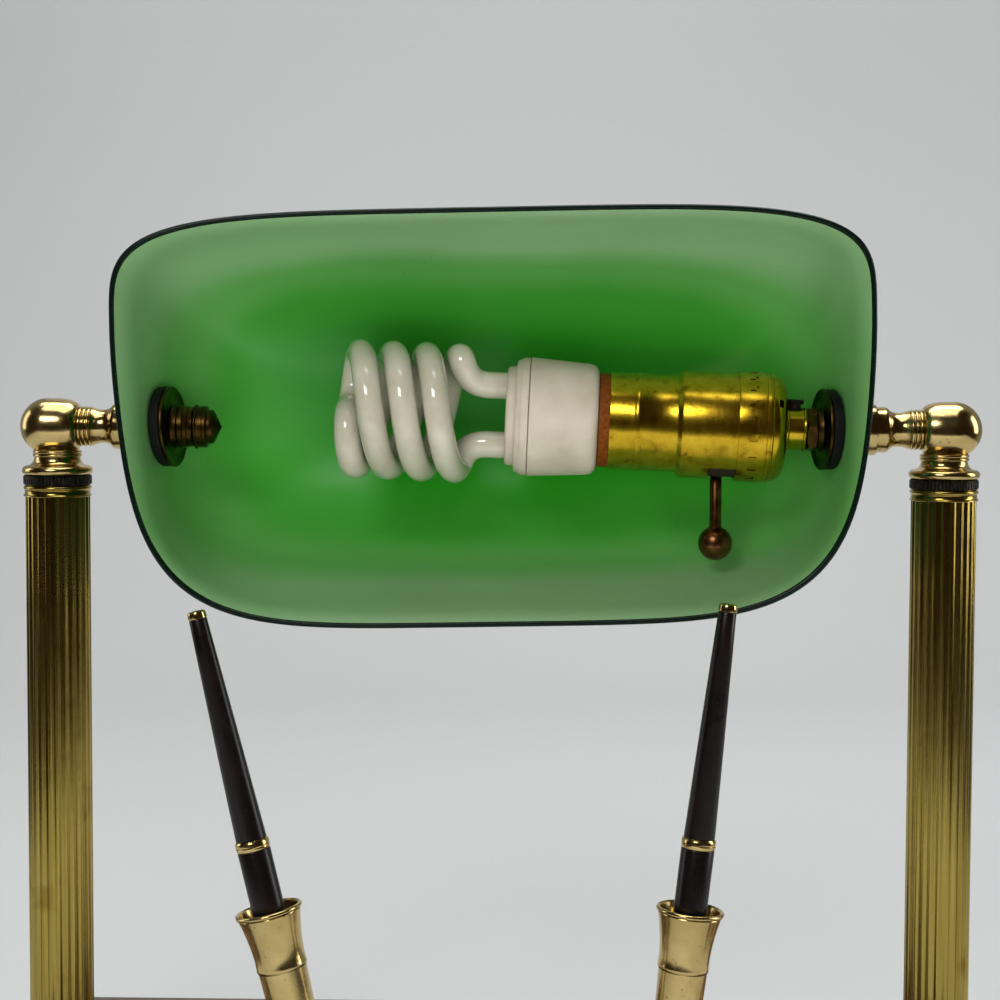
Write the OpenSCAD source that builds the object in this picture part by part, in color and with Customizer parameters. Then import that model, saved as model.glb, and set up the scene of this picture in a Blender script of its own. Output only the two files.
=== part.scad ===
// Twin-post bankers lamp with a turning glass shade and two desk pens, in millimetres.
// +X is to the right, +Y to the back, +Z up; the desk is z = 0 and the middle of the base is the origin.
// The shade is drawn turned up, with its mouth to the front, as it stands in the photograph.

/* [Base] */
// How far the wooden base reaches past a post's axis
base_end = 34.5; // [28:0.5:60]
// How far the wooden base reaches in front of a pen holder, and as far at the back
base_front = 17; // [16:0.5:40]
// Height of the wooden base without its feet
base_h = 24; // [22:1:36]
// Radius of the base's corners
base_corner = 12; // [6:1:20]
// How far the top of the base steps in from its edge
base_step = 7; // [3:0.5:10]
// Height of the stepped edge
base_step_h = 8; // [4:0.5:9]
// Wood left above the hollow under the base
base_deck = 10; // [8:0.5:12]
// Wood left in front of the hollow and behind it
base_wall = 22; // [20:1:24]
// Height of the rubber feet
foot_h = 3; // [2:0.5:6]
// Radius of the rubber feet
foot_r = 8; // [5:0.5:9]
// Thickness of the steel weight in the hollow
weight_t = 5; // [3:0.5:5]
// Thickness of the cover under the hollow
cover_t = 1.5; // [1:0.1:2]

/* [Posts] */
// Height of the axle that the shade turns on, above the desk
axle_h = 240; // [225:1:300]
// Distance from the end of the shade's mouth to a post's axis
post_gap = 25.5; // [23:0.5:32]
// Outer radius of the fluted tube
post_r = 10.55; // [9:0.05:11]
// Wall of the fluted tube
post_wall = 1.4; // [1.2:0.1:2]
// Number of flutes round a tube
flute_n = 24; // [16:1:28]
// Radius of one flute
flute_r = 0.9; // [0.5:0.05:1]
// Outer radius of the threaded lamp pipe
pipe_r = 5.1; // [4.6:0.05:5.2]
// Bore radius of the threaded lamp pipe
pipe_bore = 3.3; // [2.6:0.05:3.5]
// Radius of the turned foot under a post
post_foot_r = 20; // [16:0.5:20]
// Height of the turned foot under a post
post_foot_h = 14; // [12:0.5:20]
// Height of the collar on top of the tube
collar_h = 3.8; // [3:0.1:6]
// Height of the black knurled ring
ring_h = 3.1; // [2:0.1:5]
// Radius of the black knurled ring
ring_r = 11.15; // [10.8:0.05:11.6]
// Notches round the knurled ring
knurl_n = 60; // [36:1:72]

/* [Elbows and arms] */
// Radius of the elbow's ball
ball_r = 9.25; // [9:0.05:10]
// How far the ball's middle stands outside the post's axis
ball_out = 2.8; // [2:0.1:3]
// Radius of the elbow's neck
neck_r = 8.1; // [7.5:0.1:9]
// Radius of the round flange at the elbow's foot
flange_r = 11.5; // [10.8:0.1:12.5]
// Height of the round flange
flange_h = 3.2; // [2.4:0.1:4]
// Radius of the beads on the arm
bead_r = 6.65; // [6.2:0.05:7.5]
// Radius of the arm's waist
waist_r = 5.9; // [5.8:0.05:6]
// Radius of the arm's bell at the glass
bell_r = 8.4; // [7.5:0.1:9.5]

/* [Shade] */
// Length of the shade's mouth, over the glass
mouth_l = 240; // [232:1:244]
// Height of the mouth's upper edge above the axle
mouth_up = 70; // [66:0.5:74]
// Depth of the mouth's lower edge below the axle
mouth_down = 61.6; // [60:0.2:68]
// How far the mouth stands in front of the axle
mouth_front = 34; // [30:0.5:38]
// Depth of the shade from its mouth to its back
shade_depth = 80; // [76:1:90]
// Thickness of the glass
glass_t = 3.5; // [2.5:0.1:4]
// How far below the mouth's upper edge the mouth is widest
widest_down = 39; // [34:1:44]
// Squareness of the upper corners, 2 for an ellipse
upper_square = 4.6; // [3:0.1:6]
// Squareness of the lower corners
lower_square = 5; // [3:0.1:6]
// How much the ends draw in towards the lower edge
draw_in = 0.083; // [0:0.001:0.12]
// Lean of the shade's ends towards its back, in degrees
end_draft = 7.2; // [4:0.1:9]
// Squareness of the shade seen from above
end_square = 5; // [4:0.1:6]
// Squareness of the shade seen from its end
side_square = 2.3; // [2:0.1:3]
// How far the shade sits off the lamp's middle, to the right
shade_shift = -0.8; // [-2:0.1:2]
// How far out of level the blown glass stands, in degrees
glass_lean = 1.2; // [0:0.1:1.5]
// Radius of the two holes in the glass
glass_hole_r = 6; // [5.8:0.1:6.5]

/* [Shade fittings] */
// Radius of the washers and gaskets inside the shade
washer_r = 13.1; // [11:0.1:14]
// Thickness of the rubber gaskets inside the shade
gasket_t = 3; // [2.5:0.1:4]
// Thickness of a seat washer's disc
washer_t = 1.3; // [1:0.1:2]
// Radius of the washers and gaskets outside the shade
outer_washer_r = 10.5; // [9.5:0.1:12]
// Thickness of the gaskets outside the shade
outer_gasket_t = 1.5; // [1:0.1:2]
// Radius of a seat washer's hub
hub_r = 7.1; // [6.6:0.1:7.4]
// Thickness of the lock nut under the finial
lock_nut_t = 1.8; // [1.5:0.1:4]
// Thickness of the hex nut beside the socket
hex_nut_t = 3.2; // [3:0.1:5]
// Radius of the hex nut over its corners
hex_nut_r = 7.45; // [7.3:0.05:8]
// Length of the finial
finial_l = 12.3; // [11:0.1:18]

/* [Socket] */
// How far the socket tips up towards the bulb, in degrees
socket_tilt = 2.4; // [0:0.1:2.6]
// Radius of the socket cap's neck
cap_neck_r = 7.3; // [7:0.1:8]
// Length of the socket cap's neck
cap_neck_l = 7.3; // [6.8:0.1:9]
// Radius of the socket cap over its crimped ring
cap_r = 18.05; // [17.9:0.05:19]
// Radius of the socket's shell
shell_r = 17.55; // [17:0.05:17.6]
// Radius of the shell's narrower mouth
shell_mouth_r = 15.9; // [15.8:0.05:16.4]
// Thickness of the brass sheet of the cap and shell
sheet_t = 0.5; // [0.4:0.05:0.6]
// Length of the socket from the neck's end to the end of the shell
socket_l = 64.5; // [62:0.5:68]
// How far the paper liner stands out of the shell
liner_out = 3.4; // [1:0.1:4]

/* [Switch lever] */
// Radius of the lever's rod
lever_r = 1.95; // [1.6:0.05:2.1]
// Radius of the ball on the lever
lever_ball_r = 5.65; // [4:0.05:7]
// Distance from the lever's pivot to the middle of its ball
lever_l = 33.4; // [28:0.2:40]
// How far the lever rocks, in degrees
lever_swing = 13; // [8:1:15]

/* [Bulb] */
// Radius of the bulb's screw cap
bulb_cap_r = 13.1; // [12.8:0.05:13.2]
// Radius of the bulb's white housing
housing_r = 19.45; // [18:0.05:21]
// Length of the bulb's white housing
housing_l = 22.6; // [20:0.2:26]
// Radius of the spiral, to the middle of its tube
spiral_r = 18.55; // [16:0.05:18.6]
// Radius of the spiral's tube
tube_r = 4.45; // [4:0.05:4.6]
// How far each strand of the spiral climbs in one turn
spiral_pitch = 21.7; // [20.5:0.1:22.5]
// Turns of each strand before the tip
spiral_turns = 1.5; // [1:0.5:1.5]
// Height of a straight leg's middle from the bulb's axis
leg_off = 9.7; // [8:0.1:11]

/* [Pens] */
// Distance from the lamp's middle to a pen holder's pivot
pen_x = 53; // [45:0.5:65]
// How far the pen holders stand in front of the posts
pen_y = 68; // [67:0.5:70]
// Height of a pen holder's pivot above the base
pen_pivot_h = 9; // [8.4:0.1:12]
// Lean of the left pen, in degrees
left_lean = 13.4; // [2:0.1:20]
// Lean of the right pen, in degrees
right_lean = 6.5; // [2:0.1:20]
// Length of a pen
pen_l = 142; // [130:1:144]
// Length of a pen's tapered end, above its brass ring
taper_l = 71; // [64:1:74]
// Distance from the pivot to the lip of a pen funnel
funnel_l = 62; // [56:1:70]
// Radius of the funnel's lip
funnel_r = 10; // [9.4:0.1:12]
// Radius of a pen at its brass ring
pen_r = 4.75; // [4.2:0.05:5]
// Radius of a pen at its thin end
pen_end_r = 2.7; // [2:0.05:3.4]
// Radius of the plate that holds a pen holder down
pen_plate_r = 14; // [13:0.5:15]

/* [Hidden] */
$fn = 64;

// Clearances: a screwed or pushed fit, a running fit, faces that turn on each other, a loose seat
fit_gap = 0.05;
run_gap = 0.08;
face_gap = 0.05;
seat_gap = 0.3;
// Overlap that lets two solids of one node join, or a cut pass a face
lap = 0.5;

brass = "goldenrod";
aged_brass = "darkkhaki";
steel = "silver";
black = "#1c1c1c";
walnut = "saddlebrown";

// Plan of the base and the posts
post_x = mouth_l / 2 + post_gap;
base_l = 2 * (post_x + base_end);
base_w = 2 * (pen_y + base_front);
pipe_washer_r = 10;
nut_room = pipe_washer_r + 2.5;
hollow_l = 2 * (post_x + nut_room);
hollow_w = base_w - 2 * base_wall;
end_wall = base_end - nut_room;
ledge = 6;
weight_room = 12;
screw_inset = 14;

// Heights up the lamp
base_top = foot_h + base_h;
deck_z = base_top - base_deck;
cover_top = foot_h + cover_t;
weight_l = 2 * (post_x - 2 * pipe_washer_r);
weight_w = hollow_w - 2 * weight_room;

// The lamp pipe's nut under the deck
pipe_nut_r = 8;
pipe_nut_t = 3.5;
pipe_washer_t = 1.2;
pipe_below = pipe_washer_t + pipe_nut_t + 1;

// Elbow, ring and collar, from the axle down
elbow_drop = 16.1;
elbow_z = axle_h - elbow_drop;
ring_z = elbow_z - ring_h;
collar_z = ring_z - collar_h;
collar_r = post_r + 0.6;
collar_top_t = 1.3;
tube_top = ring_z - collar_top_t;
foot_plate_t = 2;
tube_z = base_top + foot_plate_t;
neck_top_drop = 7.9;
tie_rod_top = axle_h - neck_top_drop - 0.7;
ball_x = post_x + ball_out;
passage_r = 3.6;

// Shape of the shade: half length, then the height and depth of its widest place
half_l = mouth_l / 2;
widest_z = mouth_up - widest_down;
below_widest = widest_z + mouth_down;
middle_z = (mouth_up - mouth_down) / 2;

// Even steps of s give steps from 0 to 90 degrees that close up at both ends
function ease(s) = 45 * (1 - cos(180 * s));
function power(v, p) = pow(max(v, 0), p);
// How much of its size the shade keeps at a share of its depth
function kept(share, square) = power(1 - power(share, square), 1 / square);
// A point of the mouth's outline: quadrant 0 to 3 from the right-hand upper one, skin = glass cut away
function mouth_z(q, a, skin) = q < 2
    ? (widest_down - skin) * power(sin(a), 2 / upper_square)
    : -(below_widest - skin) * power(sin(a), 2 / lower_square);
function mouth_x(q, a, skin, share) =
    let (square = q < 2 ? upper_square : lower_square)
    let (down = q < 2 ? 0 : power(sin(a), 2 / lower_square))
    let (drawn = 1 - draw_in * pow(1 - share, 3) * pow(down, 1.5))
    (half_l - skin) * drawn * power(cos(a), 2 / square);
function turn_sign(q) = q == 0 || q == 3 ? 1 : -1;
// How much of its length the shade keeps at a share of its depth, because its ends lean in
function drafted(share) = 1 - share * shade_depth * tan(end_draft) / half_l;
// A point of the glass, before the shade is moved to its place: share = depth from 0 to 1
function glass_point(q, a, share, skin) =
    let (z = widest_z + mouth_z(q, a, skin))
    [turn_sign(q) * mouth_x(q, a, skin, share) * drafted(share) * kept(share, end_square),
     share * (shade_depth - skin) - mouth_front,
     middle_z + (z - middle_z) * kept(share, side_square)];

// Half length of the glass at y behind the axle and z above it
function wall_at(y, z, skin) =
    let (share = (y + mouth_front) / (shade_depth - skin))
    let (mouth_height = middle_z + (z - middle_z) / kept(share, side_square))
    let (down = (widest_z - mouth_height) / (below_widest - skin))
    let (drawn = 1 - draw_in * pow(1 - share, 3) * pow(down, 1.5))
    (half_l - skin) * drawn * kept(down, lower_square) * drafted(share) * kept(share, end_square);
wall_in = wall_at(0, 0, glass_t);
wall_out = wall_at(0, 0, 0);
// Angles of the glass wall at the holes, seen from above and from the front: the washers lie along it
seat_turn = atan((wall_at(-2, 0, glass_t) - wall_at(2, 0, glass_t)) / 4);
wall_dip = atan((wall_at(0, 2, glass_t) - wall_at(0, -2, glass_t)) / 4);
function seat_dip(side) = wall_dip - side * glass_lean;
seat_slope = norm([tan(seat_turn), tan(seat_dip(-1))]);
// The wall is hollow inside, so a flat gasket rests on its edges and stands off by this much
wall_sag = wall_in - (wall_at(-washer_r, 0, glass_t) + wall_at(washer_r, 0, glass_t)) / 2;
glass_gap = 0.45;
// Discs that lie along the wall are this much thicker, measured along the axle
wall_lean = cos(seat_turn) * cos(seat_dip(-1));
disc_gap = 0.02;

// Distances from the shade's middle, out along the axle
gasket_face = wall_in - max(wall_sag, 0) - glass_gap;
washer_face = gasket_face - gasket_t / wall_lean - disc_gap;
hub_root = washer_face - washer_t / wall_lean;
hub_end = hub_root - hub_r * seat_slope - 0.1;
outer_gasket_face = wall_out + glass_gap;
outer_washer_face = outer_gasket_face + outer_gasket_t / wall_lean + disc_gap;
outer_hub_root = outer_washer_face + washer_t / wall_lean;
outer_hub_end = outer_hub_root + bell_r * seat_slope + 0.2;

// The same from the lamp's middle: side is -1 on the left and 1 on the right
function arm_end(side) = outer_hub_end + side * shade_shift + face_gap;
function nut_face(side) = hub_end + side * shade_shift - face_gap;
finial_x = nut_face(-1) - lock_nut_t;
socket_x = nut_face(1) - hex_nut_t;
nipple_root = ball_x - 8;
nipple_in = 5;

// Along the socket, from the neck's end
cap_face = cap_neck_l;
crimp_start = cap_neck_l + 4.6;
crimp_end = crimp_start + 11.2;
cap_round = crimp_start - cap_face;
shell_step = socket_l - 22.6;
shell_slope = 1.6;
bead_at = socket_l - 9.3;
pivot_drop = 4;
slot_reach = (shell_r - pivot_drop) * tan(lever_swing + socket_tilt)
    + lever_r / cos(lever_swing) + 0.4;
pivot_d = crimp_end + slot_reach;
slot_end = pivot_d + lever_r + 0.6;
slot_w = 16;
block_start = crimp_start + 3;
block_end = shell_step - shell_slope / 2 - 1.2;
block_r = shell_r - sheet_t - 0.25;
liner_r = shell_mouth_r - sheet_t - fit_gap;
liner_t = 0.8;
screw_shell_t = 0.4;
screw_shell_r = bulb_cap_r + seat_gap + screw_shell_t;
set_screw_r = 2.1;
set_screw_d = cap_neck_l / 2 + 0.5;
pin_r = 1.2;
lever_hub_r = 3.2;
lever_hub_w = 5;

// Along the bulb, from the same place
housing_start = socket_l + liner_out + 0.2;
housing_end = housing_start + housing_l;
cap_in = 21;
cap_tip = housing_start - cap_in;
contact_t = 1.5;
collar_d = 4.2;
collar_r2 = housing_r - 0.6;
nose_d = 3.1;
nose_r = housing_r - 3.1;
legs_start = housing_end + collar_d;
nose_end = legs_start + nose_d;
spiral_start = nose_end + 16;
spiral_end = spiral_start + spiral_pitch * spiral_turns;
tip_d = spiral_end + 3;

// Pens and their holders, from the pivot up
pen_plate_t = 2;
swivel_t = 2;
swivel_r = 8;
swivel_z = base_top + pen_plate_t + face_gap;
pivot_z = base_top + pen_pivot_h;
pivot_pin_r = 1.5;
tongue_r = 3.8;
tongue_w = 4;
ear_t = 2;
ear_gap = 0.15;
stub_r = 3;
stub_l = 4;
funnel_floor = 12.7;
pen_foot = funnel_floor + seat_gap;
pen_top = pen_foot + pen_l;
pen_cap_l = 2.4;
pen_ring_top = pen_top - taper_l;
pen_ring_h = 3.2;
barrel_r = pen_r + 0.3;
core_r = pen_r - 0.8;
shoulder_d = 45;
grip_end = 22;

// Where the small screws and the cord go
cover_screw_x = hollow_l / 2 + ledge / 2;
cover_screw_r = 1.4;
cover_screw_l = 7;
bushing_x = 60;
bushing_r = 6;
bushing_bore = 3.2;
bushing_flange_r = 7.2;
bushing_flange_t = 1.5;
bushing_z = foot_h + 8.5;
pen_screw_at = 10.5;
pen_screw_r = 1.3;
pen_screw_l = 7;

// Route of the lead, from the base to the socket
lead_r = 1.7;
lead_low = cover_top + lead_r + 0.5;
// A point between the bushing and the post: across = share of the way, back = share of the lead's start
lead_back = hollow_w / 3;
function lead_turn(across, back) =
    [bushing_x + across * (post_x - bushing_x), back * lead_back, lead_low];
lead_route = [
    lead_turn(0, 1), lead_turn(0.005, 0.9), lead_turn(0.05, 0.785), lead_turn(0.165, 0.6),
    lead_turn(0.375, 0.33), lead_turn(0.63, 0.12),
    lead_turn(0.865, 0.01), [post_x - 5.5, 0, lead_low + 0.4],
    [post_x - 2, 0, lead_low + 2], [post_x - 0.4, 0, lead_low + 5],
    [post_x, 0, lead_low + 9], [post_x, 0, axle_h - 60], [post_x, 0, axle_h - 9],
    [post_x - 0.5, 0, axle_h - 5], [post_x - 2, 0, axle_h - 2.2],
    [post_x - 4.6, 0, axle_h - 0.5], [post_x - 8, 0, axle_h],
    [post_x - 30, 0, axle_h], [socket_x - 2, 0, axle_h],
    [socket_x - cap_face - 2, 0, axle_h + 0.4], [socket_x - block_start + 1.5, 0, axle_h + 1.2]];

// Vector helpers and a tube swept along points
function unit(v) = v / norm(v);
function tangent(p, i) = unit(p[min(i + 1, len(p) - 1)] - p[max(i - 1, 0)]);
function carried(n, t) = unit(n - (n * t) * t);
function frames(p, i, n) = i == len(p)
    ? []
    : let (t = tangent(p, i), m = carried(n, t)) concat([[t, m]], frames(p, i + 1, m));
function tube_points(p, r, sides, start) =
    let (f = frames(p, 0, start))
    [for (i = [0:len(p) - 1], k = [0:sides - 1])
        let (b = cross(f[i][0], f[i][1]), a = 360 * k / sides)
        p[i] + r * (cos(a) * f[i][1] + sin(a) * b)];
function ring_faces(rings, sides) =
    [for (i = [0:rings - 2], k = [0:sides - 1], h = [0, 1])
        let (n = (k + 1) % sides, a = i * sides, b = a + sides)
        h == 0 ? [a + k, b + k, b + n] : [a + k, b + n, a + n]];
module tube(p, r, sides, start) {
    last = (len(p) - 1) * sides;
    polyhedron(
        tube_points(p, r, sides, start),
        concat(
            ring_faces(len(p), sides),
            [for (k = [1:sides - 2]) [0, k, k + 1]],
            [for (k = [1:sides - 2]) [last, last + k + 1, last + k]]));
}

// Places: a side's own frame, the shade, the socket and a pen
module on_side(side) {
    if (side > 0) children();
    else mirror([1, 0, 0]) children();
}
module on_shade_side(side) {
    translate([shade_shift, 0, axle_h]) on_side(side) children();
}
module along_x(x) {
    translate([x, 0, 0]) rotate([0, 90, 0]) children();
}
module on_socket() {
    translate([socket_x, 0, axle_h]) rotate([0, socket_tilt - 90, 0]) children();
}
function lean(side) = side > 0 ? right_lean : left_lean;
module on_pen(side) {
    translate([side * pen_x, -pen_y, pivot_z]) rotate([0, side * lean(side), 0]) children();
}
module ring(h, r, bore) {
    difference() {
        cylinder(h = h, r = r);
        translate([0, 0, -lap]) cylinder(h = h + 2 * lap, r = bore);
    }
}
module round_slab(l, w, h, r) {
    translate([-l / 2, r - w / 2, 0]) cube([l, w - 2 * r, h]);
    translate([r - l / 2, -w / 2, 0]) cube([l - 2 * r, w, h]);
    for (x = [-1, 1], y = [-1, 1])
        translate([x * (l / 2 - r), y * (w / 2 - r), 0]) cylinder(h = h, r = r);
}

module cover_screw_places() {
    for (x = [-1, 1], y = [-1, 1])
        translate([x * cover_screw_x, y * (hollow_w / 2 - screw_inset), foot_h]) children();
    for (y = [-1, 1])
        translate([0, y * (hollow_w / 2 + ledge / 2), foot_h]) children();
}
module pen_screw_places() {
    for (side = [-1, 1], a = [0, 120, 240])
        translate([side * pen_x, -pen_y, base_top])
            rotate([0, 0, a + 90]) translate([pen_screw_at, 0, 0]) children();
}

module base_plinth() {
    color(walnut) difference() {
        union() {
            translate([0, 0, foot_h])
                round_slab(base_l, base_w, base_h - base_step_h, base_corner);
            translate([0, 0, foot_h])
                round_slab(base_l - 2 * base_step, base_w - 2 * base_step, base_h, base_corner);
        }
        translate([-hollow_l / 2, -hollow_w / 2, foot_h - lap])
            cube([hollow_l, hollow_w, deck_z - foot_h + lap]);
        translate([0, 0, foot_h - lap])
            round_slab(hollow_l + 2 * ledge, hollow_w + 2 * ledge, cover_t + lap, 4);
        for (side = [-1, 1]) {
            translate([side * post_x, 0, deck_z - lap])
                cylinder(h = base_deck + 2 * lap, r = pipe_r + seat_gap);
            translate([side * pen_x, -pen_y, base_top - stub_l])
                cylinder(h = stub_l + lap, r = stub_r + 0.6);
        }
        cover_screw_places() cylinder(h = cover_screw_l, r = cover_screw_r + fit_gap);
        pen_screw_places() translate([0, 0, -pen_screw_l])
            cylinder(h = pen_screw_l + lap, r = pen_screw_r + fit_gap);
        translate([bushing_x, base_w / 2 - base_wall - lap, bushing_z])
            rotate([-90, 0, 0]) cylinder(h = base_wall + 2 * lap, r = bushing_r + fit_gap);
        translate([bushing_x, base_w / 2 - bushing_flange_t, bushing_z])
            rotate([-90, 0, 0]) cylinder(h = bushing_flange_t + lap, r = bushing_flange_r + fit_gap);
    }
}

module base_weight() {
    color(steel) translate([-weight_l / 2, -weight_w / 2, deck_z - weight_t])
        cube([weight_l, weight_w, weight_t]);
}

module bottom_cover() {
    color(black) difference() {
        translate([0, 0, foot_h])
            round_slab(hollow_l + 2 * ledge - 0.4, hollow_w + 2 * ledge - 0.4, cover_t, 3.8);
        cover_screw_places() translate([0, 0, -lap])
            cylinder(h = cover_t + 2 * lap, r = cover_screw_r + 0.2);
    }
}

module rubber_feet() {
    color(black) for (x = [-1, 1], y = [-1, 1])
        translate([x * (base_l - end_wall) / 2, y * (base_w - base_wall) / 2, 0])
            cylinder(h = foot_h, r = foot_r);
}

module cover_screws() {
    color(steel) cover_screw_places() {
        translate([0, 0, -0.8]) cylinder(h = 0.8, r = 2.6);
        translate([0, 0, -0.1]) cylinder(h = cover_screw_l - 0.1, r = cover_screw_r);
    }
}

module cord_bushing() {
    color(black) translate([bushing_x, base_w / 2, bushing_z]) rotate([90, 0, 0])
        difference() {
            union() {
                cylinder(h = bushing_flange_t, r = bushing_flange_r);
                cylinder(h = base_wall, r = bushing_r);
            }
            translate([0, 0, -lap]) cylinder(h = base_wall + 2 * lap, r = bushing_bore);
        }
}

module wire_connectors() {
    color("orange") for (side = [-1, 1])
        translate([bushing_x + 3.1 * side, lead_back + seat_gap, cover_top + 3.1])
            rotate([-90, 0, 0]) cylinder(h = 12, r = 2.9);
}

module post_foot() {
    color(brass) translate([post_x, 0, base_top]) difference() {
        union() {
            cylinder(h = 3, r = post_foot_r);
            translate([0, 0, 3]) cylinder(h = 2, r1 = post_foot_r - 1.5, r2 = post_foot_r - 3);
            translate([0, 0, 5]) cylinder(h = post_foot_h - 8, r1 = post_foot_r - 5, r2 = post_r + 2);
            translate([0, 0, post_foot_h - 3]) cylinder(h = 3, r = post_r + 2.6);
        }
        translate([0, 0, -lap]) cylinder(h = post_foot_h, r = pipe_r + fit_gap);
        translate([0, 0, foot_plate_t]) cylinder(h = post_foot_h, r = post_r + fit_gap);
    }
}

module post_tube() {
    color(brass) translate([post_x, 0, tube_z]) linear_extrude(tube_top - tube_z)
        difference() {
            circle(r = post_r);
            circle(r = post_r - post_wall);
            for (k = [0:flute_n - 1])
                rotate(360 * (k + 0.5) / flute_n) translate([post_r + flute_r * 0.45, 0])
                    circle(r = flute_r, $fn = 24);
        }
}

module tie_rod() {
    color(steel) translate([post_x, 0, deck_z - pipe_below])
        ring(tie_rod_top - deck_z + pipe_below, pipe_r, pipe_bore);
}

module rod_nuts() {
    color(steel) for (side = [-1, 1]) translate([side * post_x, 0, deck_z]) {
        translate([0, 0, -pipe_washer_t]) ring(pipe_washer_t, pipe_washer_r, pipe_r + fit_gap);
        translate([0, 0, -pipe_washer_t - pipe_nut_t]) difference() {
            cylinder(h = pipe_nut_t, r = pipe_nut_r, $fn = 6);
            translate([0, 0, -lap]) cylinder(h = pipe_nut_t + 2 * lap, r = pipe_r + fit_gap);
        }
    }
}

module post_collars() {
    color(brass) for (side = [-1, 1]) translate([side * post_x, 0, collar_z]) difference() {
        union() {
            cylinder(h = collar_h - 0.6, r = collar_r);
            cylinder(h = collar_h, r = collar_r - 0.6);
            translate([0, 0, collar_h - 0.6]) rotate_extrude()
                translate([collar_r - 0.6, 0]) circle(r = 0.6, $fn = 24);
        }
        translate([0, 0, -lap])
            cylinder(h = collar_h - collar_top_t + lap, r = post_r + fit_gap);
        cylinder(h = collar_h + lap, r = pipe_r + fit_gap);
    }
}

module knurled_rings() {
    color(black) for (side = [-1, 1]) translate([side * post_x, 0, ring_z])
        linear_extrude(ring_h) difference() {
            circle(r = ring_r);
            circle(r = pipe_r + fit_gap);
            for (k = [0:knurl_n - 1])
                rotate(360 * k / knurl_n) translate([ring_r + 0.08, 0]) circle(r = 0.3, $fn = 4);
        }
}

module elbow() {
    taper_h = 2.6;
    bead = 0.7;
    neck_h = elbow_drop - neck_top_drop;
    crown_h = 2.4;
    color(brass) difference() {
        union() {
            translate([post_x, 0, elbow_z]) {
                cylinder(h = flange_h, r = flange_r - flange_h / 2);
                translate([0, 0, flange_h / 2]) rotate_extrude()
                    translate([flange_r - flange_h / 2, 0]) circle(r = flange_h / 2);
                translate([0, 0, flange_h - 0.3])
                    cylinder(h = taper_h, r1 = flange_r - flange_h / 2, r2 = neck_r - bead);
                cylinder(h = neck_h, r = neck_r - bead);
                translate([0, 0, neck_h])
                    cylinder(h = crown_h, r1 = neck_r - bead, r2 = pipe_r + fit_gap);
                for (n = [0, 1]) translate([0, 0, flange_h + taper_h + 0.4 + 1.5 * n])
                    rotate_extrude() translate([neck_r - bead, 0]) circle(r = bead, $fn = 32);
            }
            translate([ball_x, 0, axle_h]) sphere(r = ball_r, $fn = 96);
        }
        translate([post_x, 0, elbow_z - lap])
            cylinder(h = tie_rod_top - elbow_z + lap + 0.3, r = pipe_r + fit_gap);
        translate([post_x, 0, tie_rod_top]) cylinder(h = axle_h - tie_rod_top, r = passage_r);
        translate([post_x, 0, axle_h]) sphere(r = passage_r + 1);
        translate([0, 0, axle_h]) along_x(nipple_root - 0.3)
            cylinder(h = post_x - nipple_root, r = passage_r);
        translate([0, 0, axle_h]) along_x(ball_x - ball_r - 2)
            cylinder(h = nipple_root - ball_x + ball_r + 2 + 0.3, r = pipe_r + fit_gap);
    }
}

module arm(side) {
    end_x = arm_end(side);
    root_x = ball_x - ball_r + 0.3;
    bead = 0.75;
    bead_x = ball_x - 10.2;
    waist_x = ball_x - 14.4;
    bell_x = ball_x - 20.5;
    color(brass) difference() {
        translate([0, 0, axle_h]) union() {
            for (n = [0:2]) along_x(bead_x - bead - 1.4 * n) rotate_extrude()
                translate([bead_r - bead, 0]) circle(r = bead, $fn = 32);
            along_x(waist_x) cylinder(h = bead_x - waist_x, r = bead_r - bead);
            along_x(end_x) cylinder(h = waist_x - end_x + lap, r = waist_r);
            along_x(waist_x - 2) cylinder(h = 2, r1 = waist_r, r2 = bead_r - bead);
            along_x(bell_x - 0.8) rotate_extrude()
                translate([waist_r + 0.3, 0]) circle(r = 0.8, $fn = 32);
            along_x(bell_x - 4.6) cylinder(h = 4.1, r1 = bell_r, r2 = waist_r + 0.3);
            along_x(end_x) cylinder(h = bell_x - 4.6 - end_x, r = bell_r);
            along_x(bead_x - lap) cylinder(h = root_x - bead_x + lap, r = bead_r - bead - 0.3);
        }
        translate([ball_x, 0, axle_h]) sphere(r = ball_r + fit_gap, $fn = 96);
        translate([0, 0, axle_h]) along_x(end_x - lap)
            cylinder(h = ball_x - end_x, r = pipe_r + fit_gap);
    }
}

module nipple(side) {
    inner = side < 0 ? finial_x - nipple_in : socket_x - cap_neck_l + 0.6;
    color(aged_brass) translate([0, 0, axle_h]) along_x(inner)
        ring(nipple_root - inner, pipe_r, pipe_bore);
}

// A disc that lies along the glass wall on one side, from x inwards for t > 0, outwards for t < 0
module wall_disc(side, x, t, r) {
    translate([x, 0, 0]) rotate([0, seat_dip(side), seat_turn]) rotate([0, t > 0 ? -90 : 90, 0])
        cylinder(h = abs(t), r = r);
}
module axle_hole(r) {
    along_x(wall_in - 30) cylinder(h = 60, r = r);
}

module inner_gaskets() {
    color(black) for (side = [-1, 1]) on_shade_side(side) difference() {
        wall_disc(side, gasket_face, gasket_t, washer_r);
        axle_hole(pipe_r + seat_gap);
    }
}

module outer_gaskets() {
    color(black) for (side = [-1, 1]) on_shade_side(side) difference() {
        wall_disc(side, outer_gasket_face, -outer_gasket_t, outer_washer_r);
        axle_hole(pipe_r + seat_gap);
    }
}

module inner_washers() {
    color(aged_brass) for (side = [-1, 1]) on_shade_side(side) difference() {
        union() {
            wall_disc(side, washer_face, washer_t, washer_r + 0.2);
            intersection() {
                along_x(hub_end) cylinder(h = washer_face - hub_end + 5, r = hub_r);
                wall_disc(side, washer_face, 12, washer_r);
            }
        }
        axle_hole(pipe_r + run_gap);
    }
}

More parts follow.
